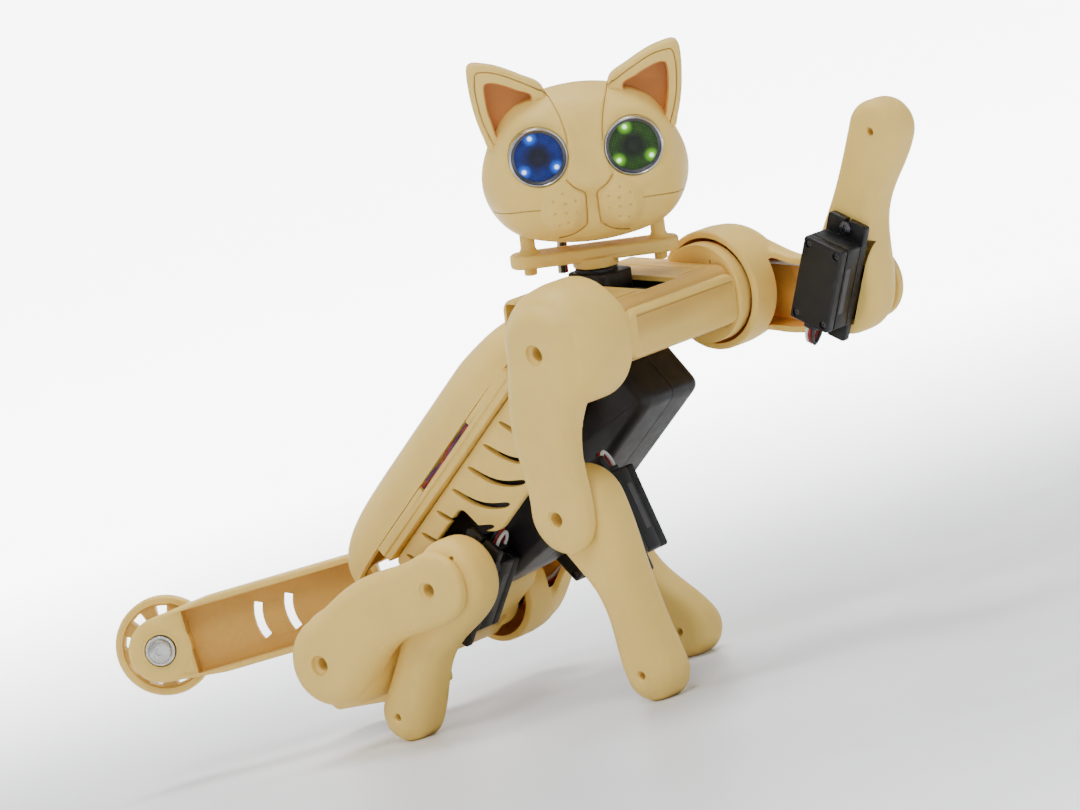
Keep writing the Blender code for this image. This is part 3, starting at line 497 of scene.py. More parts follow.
def opaque(colour, share=1.0, lift=0.0):
    """A colour with its alpha, scaled and lifted but never over 1."""
    return (*[min(1.0, c * share + lift) for c in colour], 1)


def moulded(name, colour, deep, rough=(0.42, 0.54), grain=2600, grain_depth=0.00003, wear=0.25,
            subsurface=0.0, specular=0.5):
    """Moulded plastic: soft colour drift, painted shade in its creases, rubbed edges and a fine spark-eroded
    grain.
    """
    shader = Shader(name)
    point = shader.add("NewGeometry").outputs["Pointiness"]
    drift = shader.ranged(shader.noise(38, 4.0, 0.6), 0.35, 0.65, smooth=True)
    base = shader.mixed(drift, opaque(colour, 0.955), opaque(colour, 1.03))
    # painted shade: creases, found by pointiness, are darkened towards the deep colour
    crease_shade = shader.ranged(point, 0.497, 0.44, 0.0, 0.5, True)
    base = shader.mixed(crease_shade, base, (*deep, 1))
    flecks = shader.ranged(shader.noise(700), 0.4, 0.62, 0.35, 1.0)
    edge = shader.ranged(point, 0.512, 0.6, 0.0, wear, True)
    base = shader.mixed(shader.math("MULTIPLY", edge, flecks), base, opaque(colour, 1.12, 0.02))
    sheen = shader.ranged(shader.noise(160, 5.0, 0.65), 0.3, 0.7, *rough)
    height = shader.math("MULTIPLY_ADD", shader.noise(90), 2.2, shader.noise(grain, 3.0, 0.6))
    shader.bumped(height, 0.55, grain_depth)
    return shader.finished(Base_Color=base, Roughness=sheen, Specular_IOR_Level=specular,
                           Subsurface_Weight=subsurface, Subsurface_Radius=(1.0, 0.6, 0.25),
                           Subsurface_Scale=0.0025)


def metal(name, colour, rough=(0.2, 0.34)):
    """Plated or turned metal with fine scratches and a little tarnish."""
    shader = Shader(name)
    stretch = shader.add("Mapping", {"Vector": shader.where, "Scale": (1.0, 0.12, 1.0)}).outputs[0]
    lines = shader.noise(2700, 3.0, 0.7, stretch)
    stain = shader.ranged(shader.noise(130, 4.0), 0.35, 0.7)
    shader.bumped(lines, 0.35, 0.00001)
    return shader.finished(Base_Color=shader.mixed(stain, opaque(colour), opaque(colour, 0.78)),
                           Roughness=shader.ranged(lines, 0.3, 0.7, *rough), Metallic=1.0)


def board():
    """Solder mask with paler tracks under it."""
    shader = Shader("board_green")
    tracks = shader.add("TexVoronoi", {"Vector": shader.where, "Scale": 320.0}, distance="MANHATTAN")
    line = shader.ranged(tracks.outputs["Distance"], 0.3, 0.34)
    shader.bumped(line, 0.4, 0.00004)
    return shader.finished(Base_Color=shader.mixed(line, (0.018, 0.11, 0.055, 1), (0.03, 0.2, 0.09, 1)),
                           Roughness=shader.ranged(shader.noise(200), 0.3, 0.7, 0.3, 0.42))


def sensor_glow(name, colour, rim_colour):
    """The lit woven mesh of a sensor can: three lamps behind it and a dark cone in its middle.

    Its object coordinates are millimetres from the can's middle: Y and Z across the face.
    """
    shader = Shader(name)
    wire_waves, mesh_radius, lamp_radius = 15.7, 7.0, 5.3
    parts = shader.add("SeparateXYZ", {0: shader.where}).outputs
    flat = shader.add("CombineXYZ", {1: parts[1], 2: parts[2]}).outputs[0]
    wires = []
    for socket in parts[1:]:
        wave = shader.math("SINE", shader.math("MULTIPLY", socket, wire_waves))
        wires.append(shader.ranged(wave, 0.1, 0.7, 1.0, 0.16, True))
    weave = shader.math("MULTIPLY", *wires)
    blotch = shader.ranged(shader.noise(0.55, 3.0), 0.3, 0.7, 0.55, 1.15)
    ring = shader.add("ValToRGB", {0: shader.ranged(shader.vector("LENGTH", flat), 0.0, mesh_radius)})
    stops = ring.color_ramp.elements
    stops[0].position, stops[0].color = 0.0, opaque(colour, 0.05, 0.012)
    stops[1].position, stops[1].color = 1.0, opaque(rim_colour, 0.25)
    for position, share in ((0.28, 0.08), (0.42, 0.35), (0.66, 0.85), (0.84, 0.7), (0.93, 0.2)):
        stops.new(position).color = opaque(rim_colour, share)
    glow = shader.mixed(1.0, ring.outputs["Color"], blotch, "MULTIPLY")
    glow = shader.mixed(1.0, glow, weave, "MULTIPLY")
    for angle in (109, 220, -35):
        turn = math.radians(angle)
        lamp = (0.0, lamp_radius * math.cos(turn), lamp_radius * math.sin(turn))
        far = shader.vector("DISTANCE", flat, lamp)
        halo = shader.ranged(far, 2.3, 0.3, 0.0, 0.8, True)
        glow = shader.mixed(halo, glow, (*[c * 1.2 + 0.02 for c in colour], 1), "ADD")
        core = shader.ranged(far, 0.85, 0.2, smooth=True)
        glow = shader.mixed(core, glow, (1.6, 1.9, 1.6, 1), "ADD")
    shader.bumped(weave, 0.5, 0.0001, True)
    return shader.finished(
        Base_Color=shader.mixed(weave, (0.02, 0.021, 0.022, 1), (0.003, 0.003, 0.004, 1)),
        Roughness=shader.ranged(weave, 0.0, 1.0, 0.3, 0.6), Specular_IOR_Level=0.2,
        Emission_Color=glow, Emission_Strength=1.0)


def paper():
    """The pale studio floor, lit of itself behind the cat as the photograph's backdrop is."""
    shader = Shader("studio_floor")
    away, aside = (-0.698, 0.716, 0.0), (0.716, 0.698, 0.0)
    behind = shader.vector("DOT_PRODUCT", shader.where, away)
    across = shader.math("ABSOLUTE", shader.vector("DOT_PRODUCT", shader.where, aside))
    height = shader.add("SeparateXYZ", {0: shader.where}).outputs[2]
    # painted shadow: this glow rises from nothing near the cat's feet, so the floor around them stays darker
    shadow_centre_distance = shader.vector("DISTANCE", shader.where, (0.05, 0.0, 0.0))
    glow = shader.math("ADD", shader.ranged(behind, 0.06, 1.2, smooth=True),
                       shader.ranged(shadow_centre_distance, 0.13, 0.5, 0.0, 0.12, True))
    for value, start, end in ((across, 0.45, 1.3), (height, 0.3, 1.0)):
        glow = shader.math("MULTIPLY", glow, shader.ranged(value, start, end, 1.0, 0.0, True))
    shader.bumped(shader.noise(900), 0.15, 0.0001)
    return shader.finished(
        Base_Color=shader.mixed(shader.noise(1.5, 3.0), (0.83, 0.845, 0.87, 1), (0.87, 0.88, 0.895, 1)),
        Roughness=shader.ranged(shader.noise(40, 4.0), 0.3, 0.7, 0.42, 0.5), Specular_IOR_Level=0.35,
        Emission_Color=shader.mixed(glow, (0, 0, 0, 1), (0.98, 0.985, 1.0, 1)), Emission_Strength=7.0)


IVORY = (0.85, 0.585, 0.145)
SATIN = (0.3, 0.45)
# the third colour of each moulded finish is the painted shade in its creases
FINISHES = {
    "ivory": moulded("ivory", IVORY, (0.46, 0.20, 0.035), (0.44, 0.58), subsurface=0.12, specular=0.35),
    # painted shade: a darker, oranger copy of the ivory for the shaded inner faces of the thighs and the tail
    "ivory_shaded_inside": moulded("ivory_shaded_inside", (0.80, 0.40, 0.075), (0.42, 0.17, 0.03), subsurface=0.25,
                          specular=0.3),
    "ear_tan": moulded("ear_tan", (0.68, 0.27, 0.05), (0.36, 0.12, 0.02), subsurface=0.2, specular=0.3),
    "servo_black": moulded("servo_black", (0.0045, 0.0045, 0.005), (0.002, 0.002, 0.002), (0.34, 0.5),
                           grain=3200, grain_depth=0.00004, wear=0.08, specular=0.4),
    "battery_black": moulded("battery_black", (0.007, 0.006, 0.0075), (0.003, 0.003, 0.003),
                             (0.38, 0.5), grain=2200, grain_depth=0.00006, wear=0.1, specular=0.4),
    "label_grey": moulded("label_grey", (0.05, 0.05, 0.055), (0.1, 0.1, 0.1), wear=0.1),
    "steel": metal("steel", (0.62, 0.61, 0.59)),
    "eye_silver": metal("eye_silver", (0.66, 0.66, 0.68), (0.16, 0.28)),
    "dark_metal": metal("dark_metal", (0.12, 0.12, 0.13), SATIN),
    "eye_blue": sensor_glow("eye_blue", (0.0, 0.16, 1.0), (0.0, 0.05, 0.62)),
    "eye_green": sensor_glow("eye_green", (0.22, 0.75, 0.0), (0.05, 0.2, 0.0)),
    "board_green": board(),
}
# the third colour of each wire is the painted shade in its creases
for wire, shade, dark in (("wire_black", (0.012, 0.011, 0.012), (0.004, 0.004, 0.004)),
                          ("wire_red", (0.28, 0.012, 0.01), (0.12, 0.006, 0.006)),
                          ("wire_white", (0.75, 0.74, 0.7), (0.4, 0.4, 0.38)),
                          ("wire_purple", (0.07, 0.015, 0.10), (0.03, 0.006, 0.05))):
    FINISHES[wire] = moulded(wire, shade, dark, SATIN)


def cut_faces(mesh, cutters):
    """The faces of a mesh that lie on the surface of any cutter."""
    trees = []
    for cutter in cutters:
        work = bmesh.new()
        work.from_mesh(cutter)
        trees.append(BVHTree.FromBMesh(work))
        work.free()
    return [face.index for face in mesh.polygons
            if any(tree.find_nearest(face.center, 0.05)[0] is not None for tree in trees)]


def make(name, mesh, place, body, finish, replaces=(), sharp=38, local=False, inside=None):
    """A finished piece: shaded, placed, riding on a body and standing for CAD nodes.

    inside is (cutters, finish): the faces that those cutters left get that finish.
    """
    marked = cut_faces(mesh, inside[0]) if inside else []
    if not local:
        mesh.transform(place)
        if place.determinant() < 0:
            mesh.flip_normals()
    mesh.shade_smooth()
    mesh.set_sharp_from_angle(angle=math.radians(sharp))
    mesh.materials.clear()
    mesh.materials.append(FINISHES[finish])
    if inside:
        mesh.materials.append(FINISHES[inside[1]])
    for face in mesh.polygons:
        face.material_index = 0
    for index in marked:
        mesh.polygons[index].material_index = 1
    item = shown(bpy.data.objects.new(name, mesh))
    if local:
        item.matrix_world = place
    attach(item, body)
    if replaces:
        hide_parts(*replaces)
    return item


# ---- servo: shaft along +Z, the ears' upper face at Z = 0, the case along +X ----

CASE_SCREW = (9.6, 4.4)
CORNERS = ((-1, -1), (-1, 1), (1, -1), (1, 1))


def servo_case(reach):
    """The case in three mouldings with fine seams, notched ears, gear hump and output boss."""
    x_low, x_high = -SHAFT_INSET, SERVO_LENGTH - SHAFT_INSET
    middle, half_x, half_y = (x_low + x_high) / 2, SERVO_LENGTH / 2, SERVO_WIDTH / 2
    bottom = -SERVO_BELOW - SERVO_EAR
    shell = rounded_box(half_x, half_y, 0.8, (middle, 0), 4)
    seam = inset(shell, 0.22)
    parts = [
        slab(shell, bottom, bottom + 2.6, "Z", 0.45, 3),
        slab(shell, bottom + 2.85, -SERVO_EAR - 0.9, "Z", 0.12, 2),
        slab(shell, -SERVO_EAR - 0.65, -0.2, "Z", 0.12, 2),
        slab(seam, bottom + 1.0, -0.6, "Z"),
    ]
    ears = slab(rounded_box(half_x + reach, half_y - 0.1, 0.9, (middle, 0), 4), -SERVO_EAR, 0, "Z", 0.25, 2)
    cuts = []
    for sign in (-1, 1):
        at = middle + sign * (half_x + min(reach, 2.35))
        cuts.append(drill(1.05, -4, 2, "Z", (at, 0), 20))
        slot = sorted((at, at + sign * 6))
        cuts.append(block((slot[0], -0.55, -4), (slot[1], 0.55, 2)))
    ears = cut(ears, cuts)
    hump = slab(rounded_box(SERVO_HUMP / 2, half_y, 2.6, (x_low + SERVO_HUMP / 2, 0), 8), -0.5, SERVO_ABOVE,
                "Z", 0.5, 3, both=False)
    parts += [ears, hump]
    top = SERVO_ABOVE + BOSS_H
    parts.append(rod(BOSS_R, SERVO_ABOVE - 1, top, "Z", chamfer=0.35, steps=40))
    case = combined(parts[0], "UNION", parts[1:], "EXACT")
    dents = [drill(1.0, bottom - 1, bottom + 0.9, "Z", (middle + sx * CASE_SCREW[0], sy * CASE_SCREW[1]), 18)
             for sx, sy in CORNERS]
    return cut(case, dents)


def servo_spline():
    teeth = []
    for k in range(50):
        radius = SPLINE_R if k % 2 else SPLINE_R - 0.22
        angle = 2 * math.pi * k / 50
        teeth.append((radius * math.cos(angle), radius * math.sin(angle)))
    top = SERVO_ABOVE + BOSS_H
    return slab(teeth, top - 0.4, top + SPLINE_H, "Z")


def servo_screws():
    """The four case screws in the bottom, with cross recesses."""
    middle = SERVO_LENGTH / 2 - SHAFT_INSET
    bottom = -SERVO_BELOW - SERVO_EAR
    found = []
    for sx, sy in CORNERS:
        at = (middle + sx * CASE_SCREW[0], sy * CASE_SCREW[1])
        head = rod(0.85, bottom + 0.35, bottom + 1.2, "Z", at, 0.15, 20)
        found.append(cut(head, cross_recess(at, "Z", 0.55, 0.12, bottom, bottom + 0.6)))
    return joined(*found)


def servo(name, base, at, shaft, body_axis, reach, body):
    """A servo in a frame, in the same place as the CAD's."""
    shaft, forward = Vector(shaft), Vector(body_axis)
    side = shaft.cross(forward)
    turn = Matrix((forward, side, shaft)).transposed().to_4x4()
    place = base @ Matrix.Translation(Vector(at)) @ turn
    clipped = reach < EAR_REACH
    make(name + "_case", SERVO_MESHES["clipped" if clipped else "full"].copy(), place, body, "servo_black",
         (name,), sharp=32)
    make(name + "_spline", SERVO_MESHES["spline"].copy(), place, body, "dark_metal")
    if not clipped:
        make(name + "_case_screws", SERVO_MESHES["screws"].copy(), place, body, "dark_metal")
    return place


SERVO_MESHES = {"full": servo_case(EAR_REACH), "clipped": servo_case(CLIPPED_EAR), "spline": servo_spline(),
                "screws": servo_screws()}


# ---- torso, in the spine frame: X from hip to shoulder, Z out of the back ----

def back_cover():
    """The domed cover over the back: a barrel that is fuller in its middle than at its ends."""
    rows, columns = 96, 56
    length = COVER_END - COVER_START
    rise = COVER_TOP - RAIL_HIGH - GAP
    points, faces = [], []
    for i in range(rows + 1):
        along = (1 - math.cos(math.pi * i / rows)) / 2
        end = max(0.0, 1 - abs(2 * along - 1) ** 6) ** 0.4
        half = (TORSO_HALF - 0.2) * (0.6 + 0.4 * end)
        height = rise * (0.3 + 0.7 * end) * (1 - 0.14 * max(0.0, along - 0.75) / 0.25)
        for j in range(columns + 1):
            across = (j / columns - 0.5) * math.pi
            points.append((COVER_START + length * along, half * math.sin(across),
                           RAIL_HIGH + GAP + height * abs(math.cos(across)) ** 0.8))
    for i in range(rows):
        for j in range(columns):
            a = i * (columns + 1) + j
            faces.append((a, a + columns + 1, a + columns + 2, a + 1))
    mesh = mesh_of(points, faces)
    if sum(p.normal.z * p.area for p in mesh.polygons) < 0:
        mesh.flip_normals()
    mesh = applied(mesh, ("SOLIDIFY", {"thickness": COVER_WALL, "offset": -1.0}))
    make("back_cover_shell", mesh, SPINE, "torso", "ivory", ("back_cover",), sharp=50)


def chassis_tray():
    floor_half, rail_in = PANEL_IN - 0.4, 16.0
    left = [(floor_half, TRAY_FLOOR), (floor_half, RAIL_LOW), (TORSO_HALF - 0.5, RAIL_LOW),
            (TORSO_HALF - 0.5, 12.6), (TORSO_HALF, 12.9), (TORSO_HALF, RAIL_HIGH), (rail_in, RAIL_HIGH),
            (rail_in, TRAY_INSIDE)]
    section = filleted(left + [(-y, z) for y, z in reversed(left)], 0.35, 3)
    # the slots beside the cover's edge, where a lead shows
    slots = [block((48, side * 21.2 - 0.9, RAIL_HIGH - 1.5), (76, side * 21.2 + 0.9, RAIL_HIGH + 1))
             for side in (-1, 1)]
    mesh = cut(slab(section, TRAY_START, TRAY_END, "X"), slots)
    make("chassis_tray_rails", mesh, SPINE, "torso", "ivory", ("chassis_tray",))
    for side, name in ((1, "left"), (-1, "right")):
        for k, finish in enumerate(("wire_purple", "wire_red")):
            route = [(48.5 + 2.2 * n, side * (20.9 + 0.25 * math.sin(n + k)),
                      RAIL_HIGH - 0.65 + 0.3 * math.sin(0.7 * n + 2 * k)) for n in range(13)]
            make(f"side_lead_{name}_{k + 1}", tube(curve_through(route, 3), 0.42), SPINE, "torso", finish)


def slot_outline(start):
    sides = []
    for sign in (-1, 1):
        edge = []
        for k in range(25):
            t = k / 24
            bow = 1.6 * math.sin(math.pi * t)
            half = SLOT_WIDTH / 2 * max(0.02, 1 - abs(2 * t - 1) ** 7) ** 0.5
            x = start + SLOT_LEAN * t - bow
            z = SLOT_HIGH + (SLOT_LOW - SLOT_HIGH) * t - bow
            edge.append((x + sign * half * 0.78, z + sign * half * 0.62))
        sides.append(edge)
    return sides[0] + sides[1][::-1]


def rib_panels():
    top = RAIL_LOW - 0.5
    outline = filleted([(22, -5.5), (32.5, -2.5), (36, ARCH_TOP), (ARCH_END, ARCH_TOP), (54, -6),
                        (58.5, -9.6), (98, -9.6), (104, -4), (104, 3), (96, top), (22, top)], 2.5, 6)
    for name, side in (("left", 1), ("right", -1)):
        slots = [slab(slot_outline(SLOT_FIRST + SLOT_PITCH * k), side * (PANEL_IN - 1),
                      side * (PANEL_OUT + 1), "Y") for k in range(SLOT_COUNT)]
        mesh = cut(slab(outline, side * PANEL_IN, side * PANEL_OUT, "Y", 0.45, 3), slots)
        make(f"rib_panel_{name}_slotted", mesh, SPINE, "torso", "ivory", (f"rib_panel_{name}",))


def battery():
    outline = filleted([(24, -4), (24, -9.5), (43, -16.5), (60, BATTERY_LOW), (BATTERY_END, BATTERY_LOW),
                        (BATTERY_END, -3.0), (108, BATTERY_HIGH), (24, BATTERY_HIGH)], 3.6, 7)
    left = slab(outline, 0.12, BATTERY_HALF, "Y", 2.8, 7, both=False)
    right = left.copy()
    right.transform(Matrix.Scale(-1, 4, (0, 1, 0)))
    core = slab(inset(outline, 0.3), -1, 1, "Y")
    make("battery_case_halves", joined(left, cleaned(right), core), SPINE, "torso", "battery_black",
         ("battery_case",))


def housing(length, height, corner, centre, rounding, flange_r):
    """A housing's open box across the body, with the round flanges inside the limbs' domes."""
    half = HOUSING_HALF
    outer = rounded_box(length, height, corner, centre, 10)
    inner = rounded_box(length - 1.3, height - 1.3, 0.9, centre, 4)
    flanges = [rod(flange_r, side * (half - 3.0), side * (half + 1.3), "Y", chamfer=0.4, steps=64)
               for side in (-1, 1)]
    mesh = united(slab(outer, -half, half, "Y", rounding, 3), flanges)
    return mesh, slab(inner, -half - 3, half + 3, "Y")


def servo_pair(label, base, forward):
    for name, side in (("left", 1), ("right", -1)):
        servo(f"{label}_servo_{name}", base, (0, side * SERVO_SEAT, 0), (0, side, 0), (forward, 0, 0),
              CLIPPED_EAR, "torso")


def housings():
    mesh, room = housing(HIP_HALF_LENGTH, HIP_HALF_HEIGHT, 4.0, (HIP_MIDDLE, 0.0), 0.5, 9.0)
    # the lower front corners give way to a folded shank
    reliefs = [block((16.9, y, -9.0), (22.0, y + 2.7, -6.1)) for y in (-26.0, 23.3)]
    make("hip_housing_body", cut(mesh, [room, *reliefs]), SPINE, "torso", "ivory", ("hip_housing",))
    servo_pair("hip", SPINE, 1)

    top = MODULE_HALF_HEIGHT
    mesh, room = housing((MODULE_FRONT - MODULE_REAR) / 2, top, 3.5, ((MODULE_FRONT + MODULE_REAR) / 2, 0.0),
                         0.6, 13.2)
    case_low, case_high = NECK_X - SHAFT_INSET, NECK_X + SERVO_LENGTH - SHAFT_INSET
    reach = EAR_REACH + GAP
    well_half = SERVO_WIDTH / 2 + GAP
    cuts = [room, block((case_low - reach, -well_half, NECK_SEAT - SERVO_EAR - GAP),
                        (case_high + reach, well_half, top + 1))]
    for side in (-1, 1):
        # fine lines along the front lip and from front to rear
        cuts.append(block((MODULE_FRONT - 6.2, side * 15.6 - 7.2, top - 0.35),
                          (MODULE_FRONT - 5.7, side * 15.6 + 7.2, top + 1)))
        cuts.append(block((MODULE_REAR + 4, side * 16.2 - 0.25, top - 0.35),
                          (MODULE_FRONT - 6, side * 16.2 + 0.25, top + 1)))
    make("shoulder_housing_body", cut(mesh, cuts), MODULE, "torso", "ivory", ("shoulder_housing",))
    servo_pair("shoulder", MODULE, -1)
    servo("neck_servo", MODULE, (NECK_X, 0, NECK_SEAT), (0, 0, 1), (1, 0, 0), EAR_REACH, "torso")

    low = MODULE_FRONT + GAP
    plate = slab(rounded_box(21.5, top - 1.8, 3.0), low, low + 1.9, "X", 0.8, 4, both=False)
    line = block((low + 1.6, -18.5, top - 3.9), (low + 3, 20.0, top - 3.7))
    make("shoulder_front_cover_panel", cut(plate, [line]), MODULE, "torso", "ivory",
         ("shoulder_front_cover",))


# ---- head, in a frame on the neck axis: X is the way the face looks ----

FACE_SEAM = [(9.4, 60.6), (7.3, 58.2), (6.0, 55.4), (5.2, 52.6), (4.65, 49.8), (4.55, 47.2)]
MOUTH = [(5.9, 38.6), (4.3, 36.5), (1.65, 34.6), (1.55, 31.0), (1.7, 27.0), (2.2, 25.7), (4.2, 24.2),
         (6.6, 23.2), (9.2, 22.6)]
CHEEK = [(26.5, 30.0), (19.0, 30.9), (13.2, 31.1)]
DIMPLES = [(7.4, 35.2), (10.0, 33.4), (6.9, 32.4), (4.2, 33.0), (9.7, 30.0), (6.9, 30.0), (4.1, 29.9),
           (6.6, 27.3), (9.0, 26.8)]
EAR_EDGE = [(8.6, 60.9), (14.0, 64.5), (19.5, 67.3), (23.8, 68.6), (26.2, 68.8), (27.4, 67.4), (27.5, 62.5),
            (26.8, 56.0), (25.3, 50.0), (23.4, 46.0), (17.0, 47.0), (9.0, 54.0)]
EAR_SEAM = [(9.3, 60.2), (14.2, 63.1), (19.6, 65.8), (23.4, 66.7), (25.4, 66.2), (25.9, 62.0), (25.3, 56.0),
            (24.0, 51.0), (22.6, 47.5)]
EAR_POCKET = [(11.5, 58.6), (15.4, 61.3), (19.8, 63.4), (22.7, 63.9), (23.8, 62.6), (23.7, 58.0),
              (22.9, 53.5), (21.3, 49.0), (16.0, 50.0)]


def between(value, low, high):
    t = max(0.0, min(1.0, (value - low) / (high - low)))
    return t * t * (3 - 2 * t)


def strip_half(z):
    """Half-width of the raised strip from the forehead down the nose."""
    line = [(66, 12.0), (60.6, 9.4), (58.2, 7.3), (55.4, 6.0), (52.6, 5.2), (49.8, 4.65), (45, 4.6),
            (40.5, 5.6), (38.6, 5.9), (36.5, 4.3), (34.6, 1.65), (31.0, 1.55), (27.0, 1.7), (20, 1.8)]
    for (z_high, a), (z_low, b) in zip(line, line[1:]):
        if z >= z_low:
            t = (z - z_low) / (z_high - z_low)
            return b + (a - b) * max(0.0, min(1.0, t))
    return 1.8


def face_relief(y, z):
    """How far the face stands out from the plain head, at a point seen from the front."""
    side = abs(y)
    relief = 0.0
    edge = strip_half(z)
    ridge = 1 - between(side, edge - 0.9, edge + 0.5)
    relief += 0.75 * ridge * between(z, 33.0, 37.0) * (1 - between(z, 50, 61))
    relief += 1.5 * math.exp(-((y / 4.6) ** 2 + ((z - 37.6) / 3.6) ** 2))
    pad = math.sqrt(((side - 7.3) / 6.3) ** 2 + ((z - 30.4) / 7.3) ** 2)
    relief += 2.0 * (1 - between(pad, 0.45, 1.04))
    socket = math.hypot(side - EYE_Y, z - EYE_Z)
    relief += 0.55 * (1 - between(abs(socket - 9.0), 0.0, 3.2))
    relief -= 0.5 * math.exp(-((y / 2.0) ** 2 + ((z - 30.0) / 4.0) ** 2))
    return relief


def head_solid(shrink=0.0, levels=5, relief=True):
    """The cat's head as one rounded solid."""
    work = bmesh.new()
    bmesh.ops.create_cube(work, size=2.0)
    bmesh.ops.subdivide_edges(work, edges=work.edges, cuts=3, use_grid_fill=True)
    for vertex in work.verts:
        x, y, z = vertex.co.normalized().lerp(vertex.co * 0.78, 0.3)
        y *= 1.0 - 0.10 * max(0.0, z) ** 2 - 0.12 * max(0.0, -z - 0.35)
        x *= 1.0 - 0.10 * max(0.0, z)
        vertex.co = (x, y, z)
    mesh = bpy.data.meshes.new("head")
    work.to_mesh(mesh)
    work.free()
    mesh = applied(mesh, ("SUBSURF", {"levels": levels}))
    half_z = (CROWN_Z - CHIN_Z) / 2
    halves = (HEAD_HALF_X, HEAD_HALF_Y, half_z)
    reach = [max(abs(v.co[axis]) for v in mesh.vertices) for axis in range(3)]
    for vertex in mesh.vertices:
        place = Vector(c / r * (h - shrink) for c, r, h in zip(vertex.co, reach, halves))
        share = (place.z + half_z) / (2 * half_z)
        place.y *= 1.02 - 0.13 * between(share, 0.30, 0.95) - 0.03 * (1 - between(share, 0.0, 0.3))
        if relief and place.x > 0:
            out = Vector(place[k] / halves[k] ** 2 for k in range(3)).normalized()
            amount = face_relief(place.y, place.z + CHIN_Z + half_z) * between(place.x, 3.0, 10.0)
            place += out * amount
        place.z += CHIN_Z + half_z
        vertex.co = place
    return cleaned(mesh)


def ribbon(line, half, low, high):
    """A thin blade along a line drawn on the face, as a cutter for a seam."""
    route = curve_through(line, 6)
    one, two = [], []
    for i, point in enumerate(route):
        ahead = (route[min(i + 1, len(route) - 1)] - route[max(i - 1, 0)]).normalized()
        side = Vector((-ahead.y, ahead.x)) * half
        one.append(tuple(point + side))
        two.append(tuple(point - side))
    return slab(one + two[::-1], low, high, "X")


def mirrored(line, side):
    return [(side * y, z) for y, z in line]


def dimple(tree, y, z):
    """A ball that cuts a shallow dimple in the face, seen from the front at (y, z)."""
    hit = tree.ray_cast(Vector((60, y, z)), Vector((-1, 0, 0)))
    ball = bmesh.new()
    bmesh.ops.create_icosphere(ball, subdivisions=2, radius=0.9)
    bmesh.ops.translate(ball, vec=hit[0] + hit[1] * 0.7, verts=ball.verts)
    mesh = bpy.data.meshes.new("dimple")
    ball.to_mesh(mesh)
    ball.free()
    return mesh


def head():
    whole = head_solid()
    work = bmesh.new()
    work.from_mesh(whole)
    tree = BVHTree.FromBMesh(work)
    work.free()
    big, seam = 80, GAP / 2
    ears, grooves, cuts, posts = [], [], [], []
    for side, name in ((-1, "right"), (1, "left")):
        edge = smooth(mirrored(EAR_EDGE, side), closed=True)
        pocket = smooth(mirrored(EAR_POCKET, side), closed=True)
        ear = slab(edge, seam, 6.2, "X", 1.1, 5)
        ears.append(cut(ear, [slab(pocket, 2.0, 12, "X"),
                              ribbon(mirrored(EAR_SEAM, side), 0.17, 5.5, 9)]))
        lining = cut(slab(inset(pocket, 0.02), 1.8, 5.9, "X"),
                     [slab(inset(pocket, 0.35), 2.4, 9, "X")])
        make(f"ear_lining_{name}", lining, HEAD, "head", "ear_tan", (f"ear_insert_{name}",))
        for line, half in ((FACE_SEAM, 0.14), (MOUTH, 0.24), (CHEEK, 0.14)):
            grooves.append(ribbon(mirrored(line, side), half, 2.0, 40))
        cuts += [dimple(tree, side * y, z) for y, z in DIMPLES]
        cuts.append(drill(EYE_R + 0.1, 2, 40, "X", (side * EYE_Y, EYE_Z), 64))
        posts.append(drill(2.3, 10, 26, "Z", (0, side * POST_Y), 24))
    below = head_solid(0.55, 4)
    grooves = [cut(groove, [below.copy()]) for groove in grooves]
    behind = block((-big, -big, 0), (seam, big, 120))
    ahead = block((-seam, -big, 0), (big, big, 120))
    core = head_solid(2.2, 3, False)
    face = united(whole.copy(), ears)
    face = cut(face, [behind, core.copy(), *grooves, *cuts, *[p.copy() for p in posts]])
    make("face_shell_sculpted", face, HEAD, "head", "ivory", ("face_shell",), sharp=42)
    rear = cut(head_solid(0.0, 4, False), [ahead, core, *posts])
    make("head_rear_shell_smooth", rear, HEAD, "head", "ivory", ("head_rear_shell",), sharp=42)


def eyes():
    lip = [(-0.25, 5.4), (0, 5.8), (0, EYE_FRONT - 0.35), (-0.12, EYE_FRONT - 0.08), (-0.3, EYE_FRONT),
           (-0.5, EYE_FRONT - 0.12), (-0.58, EYE_FRONT - 0.45), (-0.6, EYE_FRONT - 1.9),
           (-1.2, EYE_FRONT - 2.0), (-1.2, 5.4)]
    gasket = [(-0.62, EYE_FRONT - 0.4), (-0.62, EYE_FRONT - 1.8), (-1.6, EYE_FRONT - 1.8),
              (-1.3, EYE_FRONT - 0.75)]
    lip, gasket = ([(EYE_R + r, x) for r, x in profile] for profile in (lip, gasket))
    mesh_r = 6.3
    dish = [(mesh_r * k / 12, -0.95 + 0.25 * (1 - (k / 12) ** 2)) for k in range(13)]
    dish += [(mesh_r, -1.6), (0, -1.6)]
    for name, side, glow in (("left", 1, "eye_green"), ("right", -1, "eye_blue")):
        centre = (side * EYE_Y, EYE_Z)
        make(f"eye_can_{name}_rim", lathe(lip, "X", centre, 72), HEAD, "head", "eye_silver",
             (f"eye_can_{name}",))
        make(f"eye_gasket_{name}", lathe(gasket, "X", centre, 64), HEAD, "head", "dark_metal")
        make(f"eye_mesh_{name}_lit", lathe(dish, "X", (0, 0), 64, closed=False),
             HEAD @ Matrix.Translation((EYE_FRONT, *centre)), "head", glow, (f"eye_mesh_{name}",), local=True)


